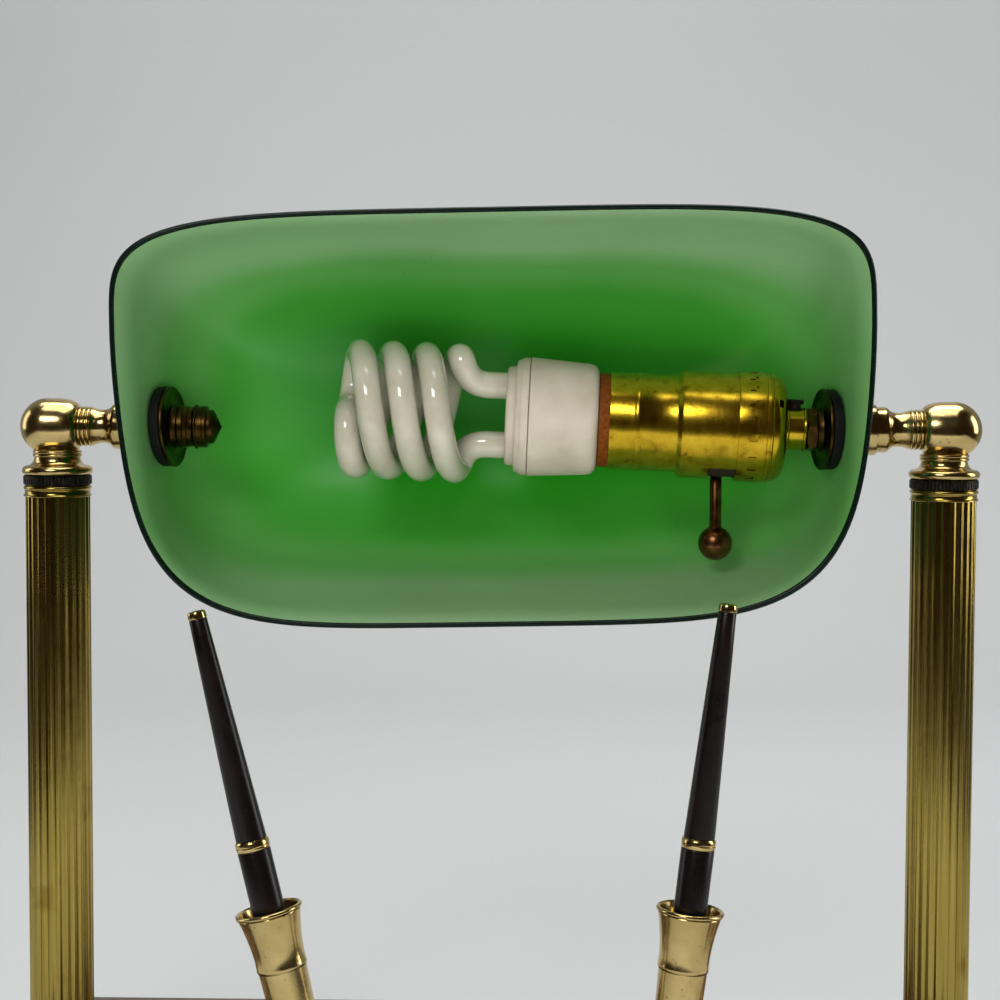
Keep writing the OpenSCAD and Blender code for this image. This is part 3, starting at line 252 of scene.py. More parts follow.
# Black powder coat has an orange-peel skin of half a millimetre and a low sheen
paint, tree, shader = finish("black_powder_coat")
where = add(tree, "TexCoord").outputs["Object"]
peel = add(tree, "TexNoise", {"Vector": where, "Scale": 1800.0, "Detail": 2.0})
tone = add(tree, "ValToRGB", {"Fac": peel.outputs["Fac"]}, stops=[(0.3, "#141415"), (0.7, "#1f1f20")])
tree.links.new(tone.outputs[0], shader.inputs["Base Color"])
dull = add(tree, "MapRange", {"Value": peel.outputs["Fac"], "To Min": 0.4, "To Max": 0.55})
tree.links.new(dull.outputs[0], shader.inputs["Roughness"])
relief = add(tree, "Bump", {"Height": peel.outputs["Fac"], "Strength": 0.3, "Distance": 0.0001})
tree.links.new(relief.outputs[0], shader.inputs["Normal"])
dress(paint, "bottom_cover")

# Moulded rubber is matt and almost black, greyer where dust sits in it
rubber, tree, shader = finish("moulded_rubber", Specular_IOR_Level=0.2)
where = add(tree, "TexCoord").outputs["Object"]
dust = add(tree, "TexNoise", {"Vector": where, "Scale": 260.0, "Detail": 4.0})
tone = add(tree, "ValToRGB", {"Fac": dust.outputs["Fac"]}, stops=[(0.35, "#090909"), (0.75, "#151413")])
tree.links.new(tone.outputs[0], shader.inputs["Base Color"])
dull = add(tree, "MapRange", {"Value": dust.outputs["Fac"], "To Min": 0.5, "To Max": 0.75})
tree.links.new(dull.outputs[0], shader.inputs["Roughness"])
dress(rubber, "rubber_feet", "cord_bushing")

# Twist-on connectors are moulded in orange plastic with a satin skin
orange, tree, shader = finish("orange_moulded_plastic")
where = add(tree, "TexCoord").outputs["Object"]
skin = add(tree, "TexNoise", {"Vector": where, "Scale": 500.0, "Detail": 3.0})
tone = add(tree, "ValToRGB", {"Fac": skin.outputs["Fac"]}, stops=[(0.3, "#b9531a"), (0.7, "#d06a28")])
tree.links.new(tone.outputs[0], shader.inputs["Base Color"])
dull = add(tree, "MapRange", {"Value": skin.outputs["Fac"], "To Min": 0.35, "To Max": 0.5})
tree.links.new(dull.outputs[0], shader.inputs["Roughness"])
dress(orange, "wire_connectors")

# The lead is clear gold plastic over two twisted cores, which show as slow bands along it
lead, tree, shader = finish("gold_lead_plastic", IOR=1.5)
where = add(tree, "TexCoord").outputs["Object"]
cores = add(tree, "TexNoise", {"Vector": where, "Scale": 240.0, "Detail": 1.0})
tone = add(tree, "ValToRGB", {"Fac": cores.outputs["Fac"]}, stops=[(0.3, "#7a5a1d"), (0.7, "#b58d3a")])
tree.links.new(tone.outputs[0], shader.inputs["Base Color"])
dull = add(tree, "MapRange", {"Value": cores.outputs["Fac"], "To Min": 0.2, "To Max": 0.35})
tree.links.new(dull.outputs[0], shader.inputs["Roughness"])
dress(lead, "supply_lead")


# Post feet
# Two round feet, turned from brass bar and polished, that the fluted tubes stand in.
# The threaded rod inside pulls foot, tube, collar and elbow together.
def turned(outline, sides=96):
    """A piece turned on a lathe: its whole outline as (along, radius) in mm, spun round the Z axis."""
    calm()
    along, radius = outline[0]
    bpy.ops.mesh.primitive_plane_add(size=MM, location=(radius * MM, 0, along * MM))
    made = bpy.context.object
    bpy.ops.object.mode_set(mode="EDIT")
    bpy.ops.mesh.select_mode(type="VERT")
    bpy.ops.mesh.select_all(action="SELECT")
    bpy.ops.mesh.merge(type="CENTER")
    for a, r in outline[1:]:
        step = ((r - radius) * MM, 0, (a - along) * MM)
        bpy.ops.mesh.extrude_region_move(TRANSFORM_OT_translate={"value": step})
        along, radius = a, r
    bpy.ops.mesh.select_all(action="SELECT")
    bpy.ops.mesh.spin(steps=sides, angle=math.tau, center=(0, 0, 0), axis=(0, 0, 1))
    bpy.ops.mesh.select_all(action="SELECT")
    bpy.ops.mesh.remove_doubles(threshold=2e-6)
    bpy.ops.mesh.normals_make_consistent(inside=False)
    bpy.ops.object.mode_set(mode="OBJECT")
    bpy.ops.object.transform_apply(location=True, rotation=True, scale=True)
    return made


def bead(at, radius, size, steps=8):
    """A half round bead in an outline, from at - size to at + size."""
    return [(at - size * math.cos(math.pi * i / steps), radius + size * math.sin(math.pi * i / steps))
            for i in range(steps + 1)]


def sweep(start, end, sag, steps=6):
    """A curved stretch of an outline after start up to end, swelling by sag to the side of a larger radius."""
    across = (end[0] - start[0], end[1] - start[1])
    size = math.hypot(*across)
    side = (-across[1] / size, across[0] / size)
    return [(start[0] + across[0] * t + side[0] * sag * 4 * t * (1 - t),
             start[1] + across[1] * t + side[1] * sag * 4 * t * (1 - t))
            for t in [(i + 1) / steps for i in range(steps)]]


def copied(piece):
    """A copy of a piece with its own mesh."""
    made = piece.copy()
    made.data = piece.data.copy()
    bpy.context.scene.collection.objects.link(made)
    return made


post_x = 145.5
half_turn = Matrix.Rotation(math.pi, 4, "Z")

# Polished and lacquered brass: deep gold that mirrors the room, with thin cloudy smudges in the
# lacquer some 10 mm wide and a few brown specks where it has worn through
brass, tree, shader = finish("polished_brass", Metallic=1.0)
where = add(tree, "TexCoord").outputs["Object"]
clouds = add(tree, "TexNoise", {"Vector": where, "Scale": 110.0, "Detail": 4.0, "Roughness": 0.6})
tone = add(tree, "ValToRGB", {"Fac": clouds.outputs["Fac"]},
           stops=[(0.25, "#b39a60"), (0.5, "#c6ad72"), (0.8, "#d6c088")])
specks = add(tree, "TexNoise", {"Vector": where, "Scale": 900.0, "Detail": 3.0})
worn = add(tree, "ValToRGB", {"Fac": specks.outputs["Fac"]}, stops=[(0.27, "#7a5524"), (0.34, "#ffffff")])
mixed = add(tree, "Mix", {"Factor": 0.8, 6: tone.outputs[0], 7: worn.outputs[0]},
            data_type="RGBA", blend_type="MULTIPLY")
tree.links.new(mixed.outputs[2], shader.inputs["Base Color"])
dull = add(tree, "MapRange", {"Value": clouds.outputs["Fac"], "From Min": 0.3, "From Max": 0.75,
                              "To Min": 0.13, "To Max": 0.26})
tree.links.new(dull.outputs[0], shader.inputs["Roughness"])
relief = add(tree, "Bump", {"Height": clouds.outputs["Fac"], "Strength": 0.12, "Distance": 0.0004})
tree.links.new(relief.outputs[0], shader.inputs["Normal"])

foot_outline = ([(0, 5.2), (0, 19.5), (0.3, 19.9), (0.8, 20), (2.2, 20), (2.7, 19.8), (3, 19.4), (3, 18.7)]
                + sweep((3, 18.7), (5.2, 16.4), 0.5) + [(5.2, 15.6)]
                + sweep((5.2, 15.6), (11, 12.6), -1.1) + bead(12.5, 12.0, 1.15)
                + [(14, 11.6), (14, 10.65), (2, 10.65), (2, 5.2), (0, 5.2)])
foot = turned(foot_outline)
left_foot = copied(foot)
fit(put(foot, Matrix.Translation((post_x * MM, 0, base_top * MM))),
    "post_foot_right", brass, "lamp", "brass", "right_post_foot")
fit(put(left_foot, Matrix.Translation((-post_x * MM, 0, base_top * MM))),
    "post_foot_left", brass, "lamp", "brass", "left_post_foot")


# Fluted post tubes
# Drawn brass tube with 24 round flutes rolled into it, cut square at both ends.
# It is older brass than the castings: browner, with long faint streaks and a few small dents.
post_r, flutes, tube_low, tube_high = 10.55, 24, 29, 219.5

drawn_brass, tree, shader = finish("drawn_brass_tube", Metallic=1.0)
where = add(tree, "TexCoord").outputs["Object"]
down = add(tree, "Mapping", {"Vector": where, "Scale": (1.0, 1.0, 0.03)})
streaks = add(tree, "TexNoise", {"Vector": down.outputs[0], "Scale": 420.0, "Detail": 3.0})
tone = add(tree, "ValToRGB", {"Fac": streaks.outputs["Fac"]},
           stops=[(0.3, "#93803a"), (0.55, "#a8934a"), (0.8, "#bba75a")])
patches = add(tree, "TexNoise", {"Vector": where, "Scale": 70.0, "Detail": 5.0})
worn = add(tree, "ValToRGB", {"Fac": patches.outputs["Fac"]}, stops=[(0.22, "#b09a60"), (0.4, "#ffffff")])
mixed = add(tree, "Mix", {"Factor": 0.6, 6: tone.outputs[0], 7: worn.outputs[0]},
            data_type="RGBA", blend_type="MULTIPLY")
tree.links.new(mixed.outputs[2], shader.inputs["Base Color"])
dull = add(tree, "MapRange", {"Value": streaks.outputs["Fac"], "To Min": 0.12, "To Max": 0.26})
tree.links.new(dull.outputs[0], shader.inputs["Roughness"])
relief = add(tree, "Bump", {"Height": patches.outputs["Fac"], "Strength": 0.1, "Distance": 0.0006})
tree.links.new(relief.outputs[0], shader.inputs["Normal"])

steps = 12
calm()
bpy.ops.mesh.primitive_circle_add(vertices=flutes * steps, radius=post_r * MM, fill_type="NOTHING",
                                  location=(0, 0, tube_low * MM))
tube = bpy.context.object
bpy.ops.object.mode_set(mode="EDIT")
for off, depth in ((0, 0.5), (1, 0.46), (2, 0.36), (3, 0.2), (4, 0.05)):
    pick(tube, "verts", lambda v: v.index % steps in (off, (steps - off) % steps))
    smaller = (post_r - depth) / post_r
    bpy.ops.transform.resize(value=(smaller, smaller, 1), center_override=(0, 0, tube_low * MM))
bpy.ops.mesh.select_all(action="SELECT")
bpy.ops.mesh.extrude_region_move(TRANSFORM_OT_translate={"value": (0, 0, (tube_high - tube_low) * MM)})
bpy.ops.mesh.select_all(action="SELECT")
bpy.ops.mesh.normals_make_consistent(inside=False)
bpy.ops.object.mode_set(mode="OBJECT")
worked(tube, "SOLIDIFY", thickness=1.0 * MM, offset=-1)
left_tube = copied(tube)
fit(put(tube, Matrix.Translation((post_x * MM, 0, 0)), smooth=50),
    "post_tube_right", drawn_brass, "lamp", "brass", "right_post_tube")
fit(put(left_tube, Matrix.Translation((-post_x * MM, 0, 0)), smooth=50),
    "post_tube_left", drawn_brass, "lamp", "brass", "left_post_tube")


# Collars and knurled rings
# A turned brass collar caps each tube, and on it lies a ring of blackened steel with a knurled edge.
axle_h = 240
collar_outline = ([(-23, 10.1), (-23, 10.95), (-22.85, 11.1), (-22.6, 11.1), (-22.35, 10.9), (-22, 10.7),
                   (-20.9, 10.65)] + bead(-20.15, 10.45, 0.68)[1:]
                  + [(-19.35, 10.5), (-19.2, 10.3), (-19.2, 5.2), (-20.5, 5.2), (-20.5, 10.1), (-23, 10.1)])
collar = turned(collar_outline)
left_collar = copied(collar)
fit(put(collar, Matrix.Translation((post_x * MM, 0, axle_h * MM))),
    "post_collar_right", drawn_brass, "lamp", "brass", "post_collars")
fit(put(left_collar, Matrix.Translation((-post_x * MM, 0, axle_h * MM))),
    "post_collar_left", drawn_brass, "lamp", "brass", "post_collars")

# Blackened steel: a thin dark oxide that shows grey metal on the knurl's crests
black_steel, tree, shader = finish("blackened_steel", Metallic=0.7)
where = add(tree, "TexCoord").outputs["Object"]
rubbed = add(tree, "TexNoise", {"Vector": where, "Scale": 700.0, "Detail": 4.0})
tone = add(tree, "ValToRGB", {"Fac": rubbed.outputs["Fac"]}, stops=[(0.4, "#171613"), (0.8, "#3b352b")])
tree.links.new(tone.outputs[0], shader.inputs["Base Color"])
dull = add(tree, "MapRange", {"Value": rubbed.outputs["Fac"], "To Min": 0.32, "To Max": 0.5})
tree.links.new(dull.outputs[0], shader.inputs["Roughness"])

teeth, ring_r = 60, 11.15
calm()
bpy.ops.mesh.primitive_circle_add(vertices=teeth * 4, radius=ring_r * MM, fill_type="NGON",
                                  location=(0, 0, -19.2 * MM))
ring = bpy.context.object
bpy.ops.object.mode_set(mode="EDIT")
pick(ring, "verts", lambda v: v.index % 4 == 0)
bpy.ops.transform.resize(value=(0.965, 0.965, 1), center_override=(0, 0, -19.2 * MM))
bpy.ops.mesh.select_all(action="SELECT")
bpy.ops.transform.resize(value=(0.965, 0.965, 1), center_override=(0, 0, -19.2 * MM))
for rise, size in ((0.35, 1 / 0.965), (2.4, 1.0), (0.35, 0.965)):
    bpy.ops.mesh.extrude_region_move(TRANSFORM_OT_translate={"value": (0, 0, rise * MM)})
    bpy.ops.transform.resize(value=(size, size, 1), center_override=(0, 0, 0))
bpy.ops.mesh.select_all(action="SELECT")
bpy.ops.mesh.normals_make_consistent(inside=False)
bpy.ops.object.mode_set(mode="OBJECT")
bpy.ops.object.transform_apply(location=True, rotation=False, scale=False)
cut(ring, rod(0, 0, -18, 5.2, 8))
left_ring = copied(ring)
fit(put(ring, Matrix.Translation((post_x * MM, 0, axle_h * MM)), smooth=20),
    "knurled_ring_right", black_steel, "lamp", "black_steel", "knurled_rings")
fit(put(left_ring, Matrix.Translation((-post_x * MM, 0, axle_h * MM)), smooth=20),
    "knurled_ring_left", black_steel, "lamp", "black_steel", "knurled_rings")


# Elbows
# A cast and polished brass ball, drawn out on one side to a shoulder that takes the arm, on a turned
# neck with two fine beads and a round flange.
# The ball is bored sideways for the nipple that carries the arm and the shade.
neck_outline = ([(-16.1, 5.2), (-16.1, 9.6)]
                + [(-14.5 - 1.6 * math.cos(math.radians(a)), 9.95 + 1.6 * math.sin(math.radians(a)))
                   for a in range(20, 161, 14)]
                + sweep((-12.95, 9.9), (-10.1, 7.55), -0.75)
                + bead(-9.55, 7.5, 0.55)[1:] + bead(-8.45, 7.5, 0.55)
                + [(-7.8, 7.3), (-6.4, 6.2), (-5.5, 5.2), (-5.5, 3.6), (-8.6, 3.6), (-8.6, 5.2), (-16.1, 5.2)])
elbow = turned(neck_outline)
calm()
bpy.ops.mesh.primitive_uv_sphere_add(segments=96, ring_count=64, radius=9.25 * MM, location=(2.8 * MM, 0, 0))
ball = bpy.context.object
shoulder = turned([(-10.15, 5.85), (-10.15, 6.4), (-9.95, 7.15), (-9.4, 7.75), (-8.3, 8.35), (-6.5, 8.87),
                   (-4, 9.2), (0, 9.2), (0, 5.1), (-7.2, 5.1), (-7.2, 5.85), (-10.15, 5.85)])
cut(ball, put(shoulder, Matrix.Translation((2.8 * MM, 0, 0)) @ Matrix.Rotation(math.pi / 2, 4, "Y")), "UNION")
cut(ball, rod(-6, 0, 0, 5.15, 8, "X"))
cut(elbow, ball, "UNION")
left_elbow = copied(elbow)
fit(put(elbow, Matrix.Translation((post_x * MM, 0, axle_h * MM))),
    "elbow_right", brass, "lamp", "brass", "right_elbow")
fit(put(left_elbow, Matrix.Translation((-post_x * MM, 0, axle_h * MM)) @ half_turn),
    "elbow_left", brass, "lamp", "brass", "left_elbow")


# Arms
# Turned brass sleeves between ball and glass: three fine beads, a drawn-in waist, a step and a bell.
# The shade's washers turn against the end of the bell.
right_along = Matrix.Translation((0, 0, axle_h * MM)) @ Matrix.Rotation(math.pi / 2, 4, "Y")
left_along = Matrix.Translation((0, 0, axle_h * MM)) @ Matrix.Rotation(-math.pi / 2, 4, "Y")
for side, end, place in (("right", 119.14, right_along), ("left", 120.74, left_along)):
    outline = ([(end, 5.2), (end, 8.1), (end + 0.3, 8.4), (122.4, 8.4), (122.8, 8.2)]
               + [(122.9, 7.6), (123.3, 7.45), (125.7, 7.5), (126.5, 7.3), (127.1, 6.7)]
               + sweep((127.2, 6.2), (133.5, 6.3), -0.75) + bead(134.5, 5.95, 0.62)
               + bead(135.95, 5.95, 0.68) + bead(137.4, 5.95, 0.68)
               + [(138.4, 5.7), (139.6, 5.5), (140.9, 5.35), (140.9, 5.2), (end, 5.2)])
    fit(put(turned(outline), place), "arm_" + side, brass, "lamp", "brass", side + "_arm")


# Nipples
# Threaded brass pipe through each arm, brown with age, with 27 threads to the inch.
old_thread, tree, shader = finish("aged_brass_thread", Metallic=1.0)
where = add(tree, "TexCoord").outputs["Object"]
pitch = add(tree, "TexWave", {"Vector": where, "Scale": 335.0}, bands_direction="X")
age = add(tree, "TexNoise", {"Vector": where, "Scale": 240.0, "Detail": 4.0})
tone = add(tree, "ValToRGB", {"Fac": age.outputs["Fac"]}, stops=[(0.3, "#4a3a1c"), (0.7, "#7a6331")])
tree.links.new(tone.outputs[0], shader.inputs["Base Color"])
dull = add(tree, "MapRange", {"Value": age.outputs["Fac"], "To Min": 0.3, "To Max": 0.45})
tree.links.new(dull.outputs[0], shader.inputs["Roughness"])
relief = add(tree, "Bump", {"Height": pitch.outputs["Fac"], "Strength": 0.8, "Distance": 0.0004})
tree.links.new(relief.outputs[0], shader.inputs["Normal"])
dress(old_thread, "left_nipple", "right_nipple")


# Glass shade
# One piece of green glass blown in a mould, open at the front, with a ground edge and two holes.
# Its shape is a formula of rounded outlines that shrink towards the back, so the mesh is made by it.
mouth_l, mouth_up, mouth_down, mouth_front, shade_depth = 240, 70, 61.6, 34, 80
widest_down, upper_square, lower_square, draw_in = 38.95, 4.6, 5, 0.083
end_draft, end_square, side_square = math.tan(math.radians(7.2)), 5, 2.3
widest_z, below_widest, middle_z = 31, 92.6, 4.2
shade_place = (Matrix.Translation((-0.8 * MM, 0, axle_h * MM))
               @ Matrix.Rotation(math.radians(-1.2), 4, "Y"))


def kept(share, square):
    """How much of its size the shade keeps at a share of its depth."""
    return max(1 - share ** square, 0) ** (1 / square)


def glass_point(turn, share, skin):
    """A point of the glass in mm: turn goes once round the mouth, skin is the glass cut away."""
    quarter, part = int(turn) % 4, turn % 1
    angle = math.radians(45 * (1 - math.cos(math.pi * part)))
    if quarter % 2:
        angle = math.pi / 2 - angle
    up = quarter < 2
    square = upper_square if up else lower_square
    down = 0 if up else math.sin(angle) ** (2 / lower_square)
    z = widest_z + ((widest_down - skin) if up else -(below_widest - skin)) * math.sin(angle) ** (2 / square)
    x = ((mouth_l / 2 - skin) * (1 - draw_in * (1 - share) ** 3 * down ** 1.5)
         * max(math.cos(angle), 0) ** (2 / square)
         * (1 - share * shade_depth * end_draft / (mouth_l / 2)) * kept(share, end_square))
    return Vector((x if quarter in (0, 3) else -x, share * (shade_depth - skin) - mouth_front,
                   middle_z + (z - middle_z) * kept(share, side_square))) * MM


around, deep = 192, 44
turns = [4 * i / around for i in range(around)]
shares = [math.sin(math.radians(45 * (1 - math.cos(math.pi * i / deep)))) ** (2 / end_square)
          for i in range(deep)]
shares = [0.0] + [s for s in shares if s > 0.02]


def wall(share):
    """The glass is ground thin at the mouth and reaches its full 3.5 mm some 12 mm in."""
    return 1.7 + 1.8 * min(share / 0.15, 1) ** 0.8


points, faces = [], []
lines = [[glass_point(t, s, 0) for t in turns] for s in shares[1:]]
lines.reverse()
inner = [[glass_point(t, s, wall(s)) for t in turns] for s in shares[1:]]
outer_rim = [glass_point(t, 0, 0) for t in turns]
inner_rim = [glass_point(t, 0, wall(0)) for t in turns]
rim = []
for i in range(9):
    share = i / 8
    back = 0.85 * (1 - math.sqrt(max(0, 1 - (2 * share - 1) ** 2))) * MM
    rim.append([a.lerp(b, share) + Vector((0, back, 0)) for a, b in zip(outer_rim, inner_rim)])
loops = lines + rim + inner
for loop in loops:
    points += loop
for i in range(len(loops) - 1):
    for k in range(around):
        n = (k + 1) % around
        a = i * around
        faces.append((a + k, a + n, a + around + n, a + around + k))
points += [Vector((0, shade_depth - mouth_front, middle_z)) * MM,
           Vector((0, shade_depth - 3.5 - mouth_front, middle_z)) * MM]
last = (len(loops) - 1) * around
for k in range(around):
    n = (k + 1) % around
    faces.append((len(points) - 2, n, k))
    faces.append((len(points) - 1, last + k, last + n))
blown = bpy.data.meshes.new("blown_glass")
blown.from_pydata([tuple(p) for p in points], [], faces)
glass = bpy.data.objects.new("glass", blown)
bpy.context.scene.collection.objects.link(glass)
take(glass)
bpy.ops.object.mode_set(mode="EDIT")
bpy.ops.mesh.select_all(action="SELECT")
bpy.ops.mesh.remove_doubles(threshold=1e-7)
bpy.ops.mesh.normals_make_consistent(inside=False)
bpy.ops.object.mode_set(mode="OBJECT")

# Green glass, seen from inside: vivid green in the deep middle, with painted light that makes it paler and mintier
# towards the mouth and the ends, for light shining in through the glass there and its sheen at grazing angles; the
# surface is fire-polished and has soft ripples
glass_in, tree, shader = finish("green_glass_inside", IOR=1.5)
where = add(tree, "TexCoord").outputs["Object"]
centred = add(tree, "Mapping", {"Vector": where, "Location": (0.006, 0, -3.7), "Scale": (8.4, 1.0, 15.2)})
apart = add(tree, "SeparateXYZ", {"Vector": centred.outputs[0]})
wide = add(tree, "Math", {0: apart.outputs["X"]}, operation="ABSOLUTE")
wide = add(tree, "Math", {0: wide.outputs[0], 1: 3.2}, operation="POWER")
tall = add(tree, "Math", {0: apart.outputs["Z"]}, operation="ABSOLUTE")
tall = add(tree, "Math", {0: tall.outputs[0], 1: 2.6}, operation="POWER")
ends = add(tree, "Math", {0: wide.outputs[0], 1: 0.62}, operation="MULTIPLY")
held = add(tree, "MapRange", {"Value": wide.outputs[0], "To Min": 1.0, "To Max": 0.2})
# How far a point lies towards the rim and the ends, which sets how much painted light it gets
painted_light_reach = add(tree, "Math", {0: tall.outputs[0], 1: held.outputs[0], 2: ends.outputs[0]},
            operation="MULTIPLY_ADD")
drift = add(tree, "TexNoise", {"Vector": where, "Scale": 14.0, "Detail": 2.0})
drift = add(tree, "MapRange", {"Value": drift.outputs["Fac"], "To Min": -0.12, "To Max": 0.12})
painted_light_reach = add(tree, "Math", {0: painted_light_reach.outputs[0], 1: drift.outputs[0]}, operation="ADD")
# Painted light: the ramp runs from vivid green in the middle to pale mint at the rim and the ends, for light
# through the glass and grazing reflections
depth = add(tree, "ValToRGB", {"Fac": painted_light_reach.outputs[0]},
            stops=[(0.02, "#1f8113"), (0.25, "#358c28"), (0.45, "#579a4a"), (0.68, "#89b17e"), (1.0, "#a0c396")])
depth.color_ramp.interpolation = "EASE"
specks = add(tree, "TexVoronoi", {"Vector": where, "Scale": 170.0})
speck = add(tree, "ValToRGB", {"Fac": specks.outputs["Distance"]}, stops=[(0.03, "#5c6b3c"), (0.07, "#ffffff")])
smears = add(tree, "TexNoise", {"Vector": where, "Scale": 38.0, "Detail": 5.0, "Distortion": 0.6})
smear = add(tree, "MapRange", {"Value": smears.outputs["Fac"], "From Min": 0.45, "From Max": 0.75,
                               "To Min": 0.0, "To Max": 0.8})
dusty = add(tree, "Mix", {"Factor": smear.outputs[0], 6: depth.outputs[0], 7: speck.outputs[0]},
            data_type="RGBA", blend_type="MULTIPLY")
tree.links.new(dusty.outputs[2], shader.inputs["Base Color"])
haze = add(tree, "MapRange", {"Value": smears.outputs["Fac"], "To Min": 0.24, "To Max": 0.4})
tree.links.new(haze.outputs[0], shader.inputs["Roughness"])
ripple = add(tree, "TexNoise", {"Vector": where, "Scale": 45.0, "Detail": 2.0})
relief = add(tree, "Bump", {"Height": ripple.outputs["Fac"], "Strength": 0.08, "Distance": 0.001})
tree.links.new(relief.outputs[0], shader.inputs["Normal"])

# The outside of the same glass: deep bottle green under a bright gloss
glass_out, tree, shader = finish("green_glass_outside", IOR=1.5, Roughness=0.06, Coat_Weight=0.3)
where = add(tree, "TexCoord").outputs["Object"]
body = add(tree, "TexNoise", {"Vector": where, "Scale": 16.0, "Detail": 2.0})
tone = add(tree, "ValToRGB", {"Fac": body.outputs["Fac"]}, stops=[(0.3, "#0f4a1c"), (0.7, "#1a5f26")])
tree.links.new(tone.outputs[0], shader.inputs["Base Color"])
ripple = add(tree, "TexNoise", {"Vector": where, "Scale": 40.0, "Detail": 2.0})
relief = add(tree, "Bump", {"Height": ripple.outputs["Fac"], "Strength": 0.08, "Distance": 0.001})
tree.links.new(relief.outputs[0], shader.inputs["Normal"])

# The ground edge: glass seen end on, almost black green, with a fine grey tooth
glass_edge, tree, shader = finish("green_glass_edge", IOR=1.5, Specular_IOR_Level=0.2)
where = add(tree, "TexCoord").outputs["Object"]
tooth = add(tree, "TexNoise", {"Vector": where, "Scale": 1500.0, "Detail": 2.0})
tone = add(tree, "ValToRGB", {"Fac": tooth.outputs["Fac"]}, stops=[(0.3, "#020a05"), (0.7, "#071a10")])
tree.links.new(tone.outputs[0], shader.inputs["Base Color"])
dull = add(tree, "MapRange", {"Value": tooth.outputs["Fac"], "To Min": 0.18, "To Max": 0.32})
tree.links.new(dull.outputs[0], shader.inputs["Roughness"])

put(glass, shade_place, smooth=60)
cut(glass, rod(0, 0, axle_h, 6, 300, "X"))
fit(put(glass, smooth=60), "glass_shade_blown", glass_in, "shade", "green_glass", "glass_shade")
glass.data.materials.append(glass_out)
glass.data.materials.append(glass_edge)
back_again = shade_place.inverted()
for face in glass.data.polygons:
    middle = back_again @ face.center
    turned_out = (back_again.to_3x3() @ face.normal).dot(middle - Vector((0, 0, middle_z * MM))) > 0
    if middle.y < (-mouth_front + 0.8) * MM:
        face.material_index = 2
    elif turned_out:
        face.material_index = 1


# Gaskets and seat washers
# Rubber gaskets on both faces of the glass, and brass seat washers that clamp them, one set a side.
# They lie along the glass wall, which leans, so each is tilted on the axle.
seat_turn, shade_shift = 9.254, -0.8
seat_dip = {"left": 3.369, "right": 0.969}


def on_wall(side, at, inwards):
    """The place of a disc that lies on the glass wall: its Z axis points away from the wall."""
    place = Matrix.Translation((shade_shift * MM, 0, axle_h * MM))
    if side == "left":
        place = place @ Matrix.Scale(-1, 4, (1, 0, 0))
    return (place @ Matrix.Translation((at * MM, 0, 0))
            @ Matrix.Rotation(math.radians(seat_turn), 4, "Z")
            @ Matrix.Rotation(math.radians(seat_dip[side]), 4, "Y")
            @ Matrix.Rotation(-math.pi / 2 if inwards else math.pi / 2, 4, "Y"))


# Aged brass: dark olive brown all over, lighter on rubbed edges, greenish where damp has sat
aged, tree, shader = finish("aged_brass", Metallic=1.0)
where = add(tree, "TexCoord").outputs["Object"]
age = add(tree, "TexNoise", {"Vector": where, "Scale": 300.0, "Detail": 5.0, "Roughness": 0.6})
tone = add(tree, "ValToRGB", {"Fac": age.outputs["Fac"]},
           stops=[(0.25, "#33240f"), (0.5, "#4a3718"), (0.75, "#6a5228")])
tree.links.new(tone.outputs[0], shader.inputs["Base Color"])
dull = add(tree, "MapRange", {"Value": age.outputs["Fac"], "To Min": 0.26, "To Max": 0.42})
tree.links.new(dull.outputs[0], shader.inputs["Roughness"])
relief = add(tree, "Bump", {"Height": age.outputs["Fac"], "Strength": 0.15, "Distance": 0.0002})
tree.links.new(relief.outputs[0], shader.inputs["Normal"])
dress(aged, "centre_contact", "bulb_contact")

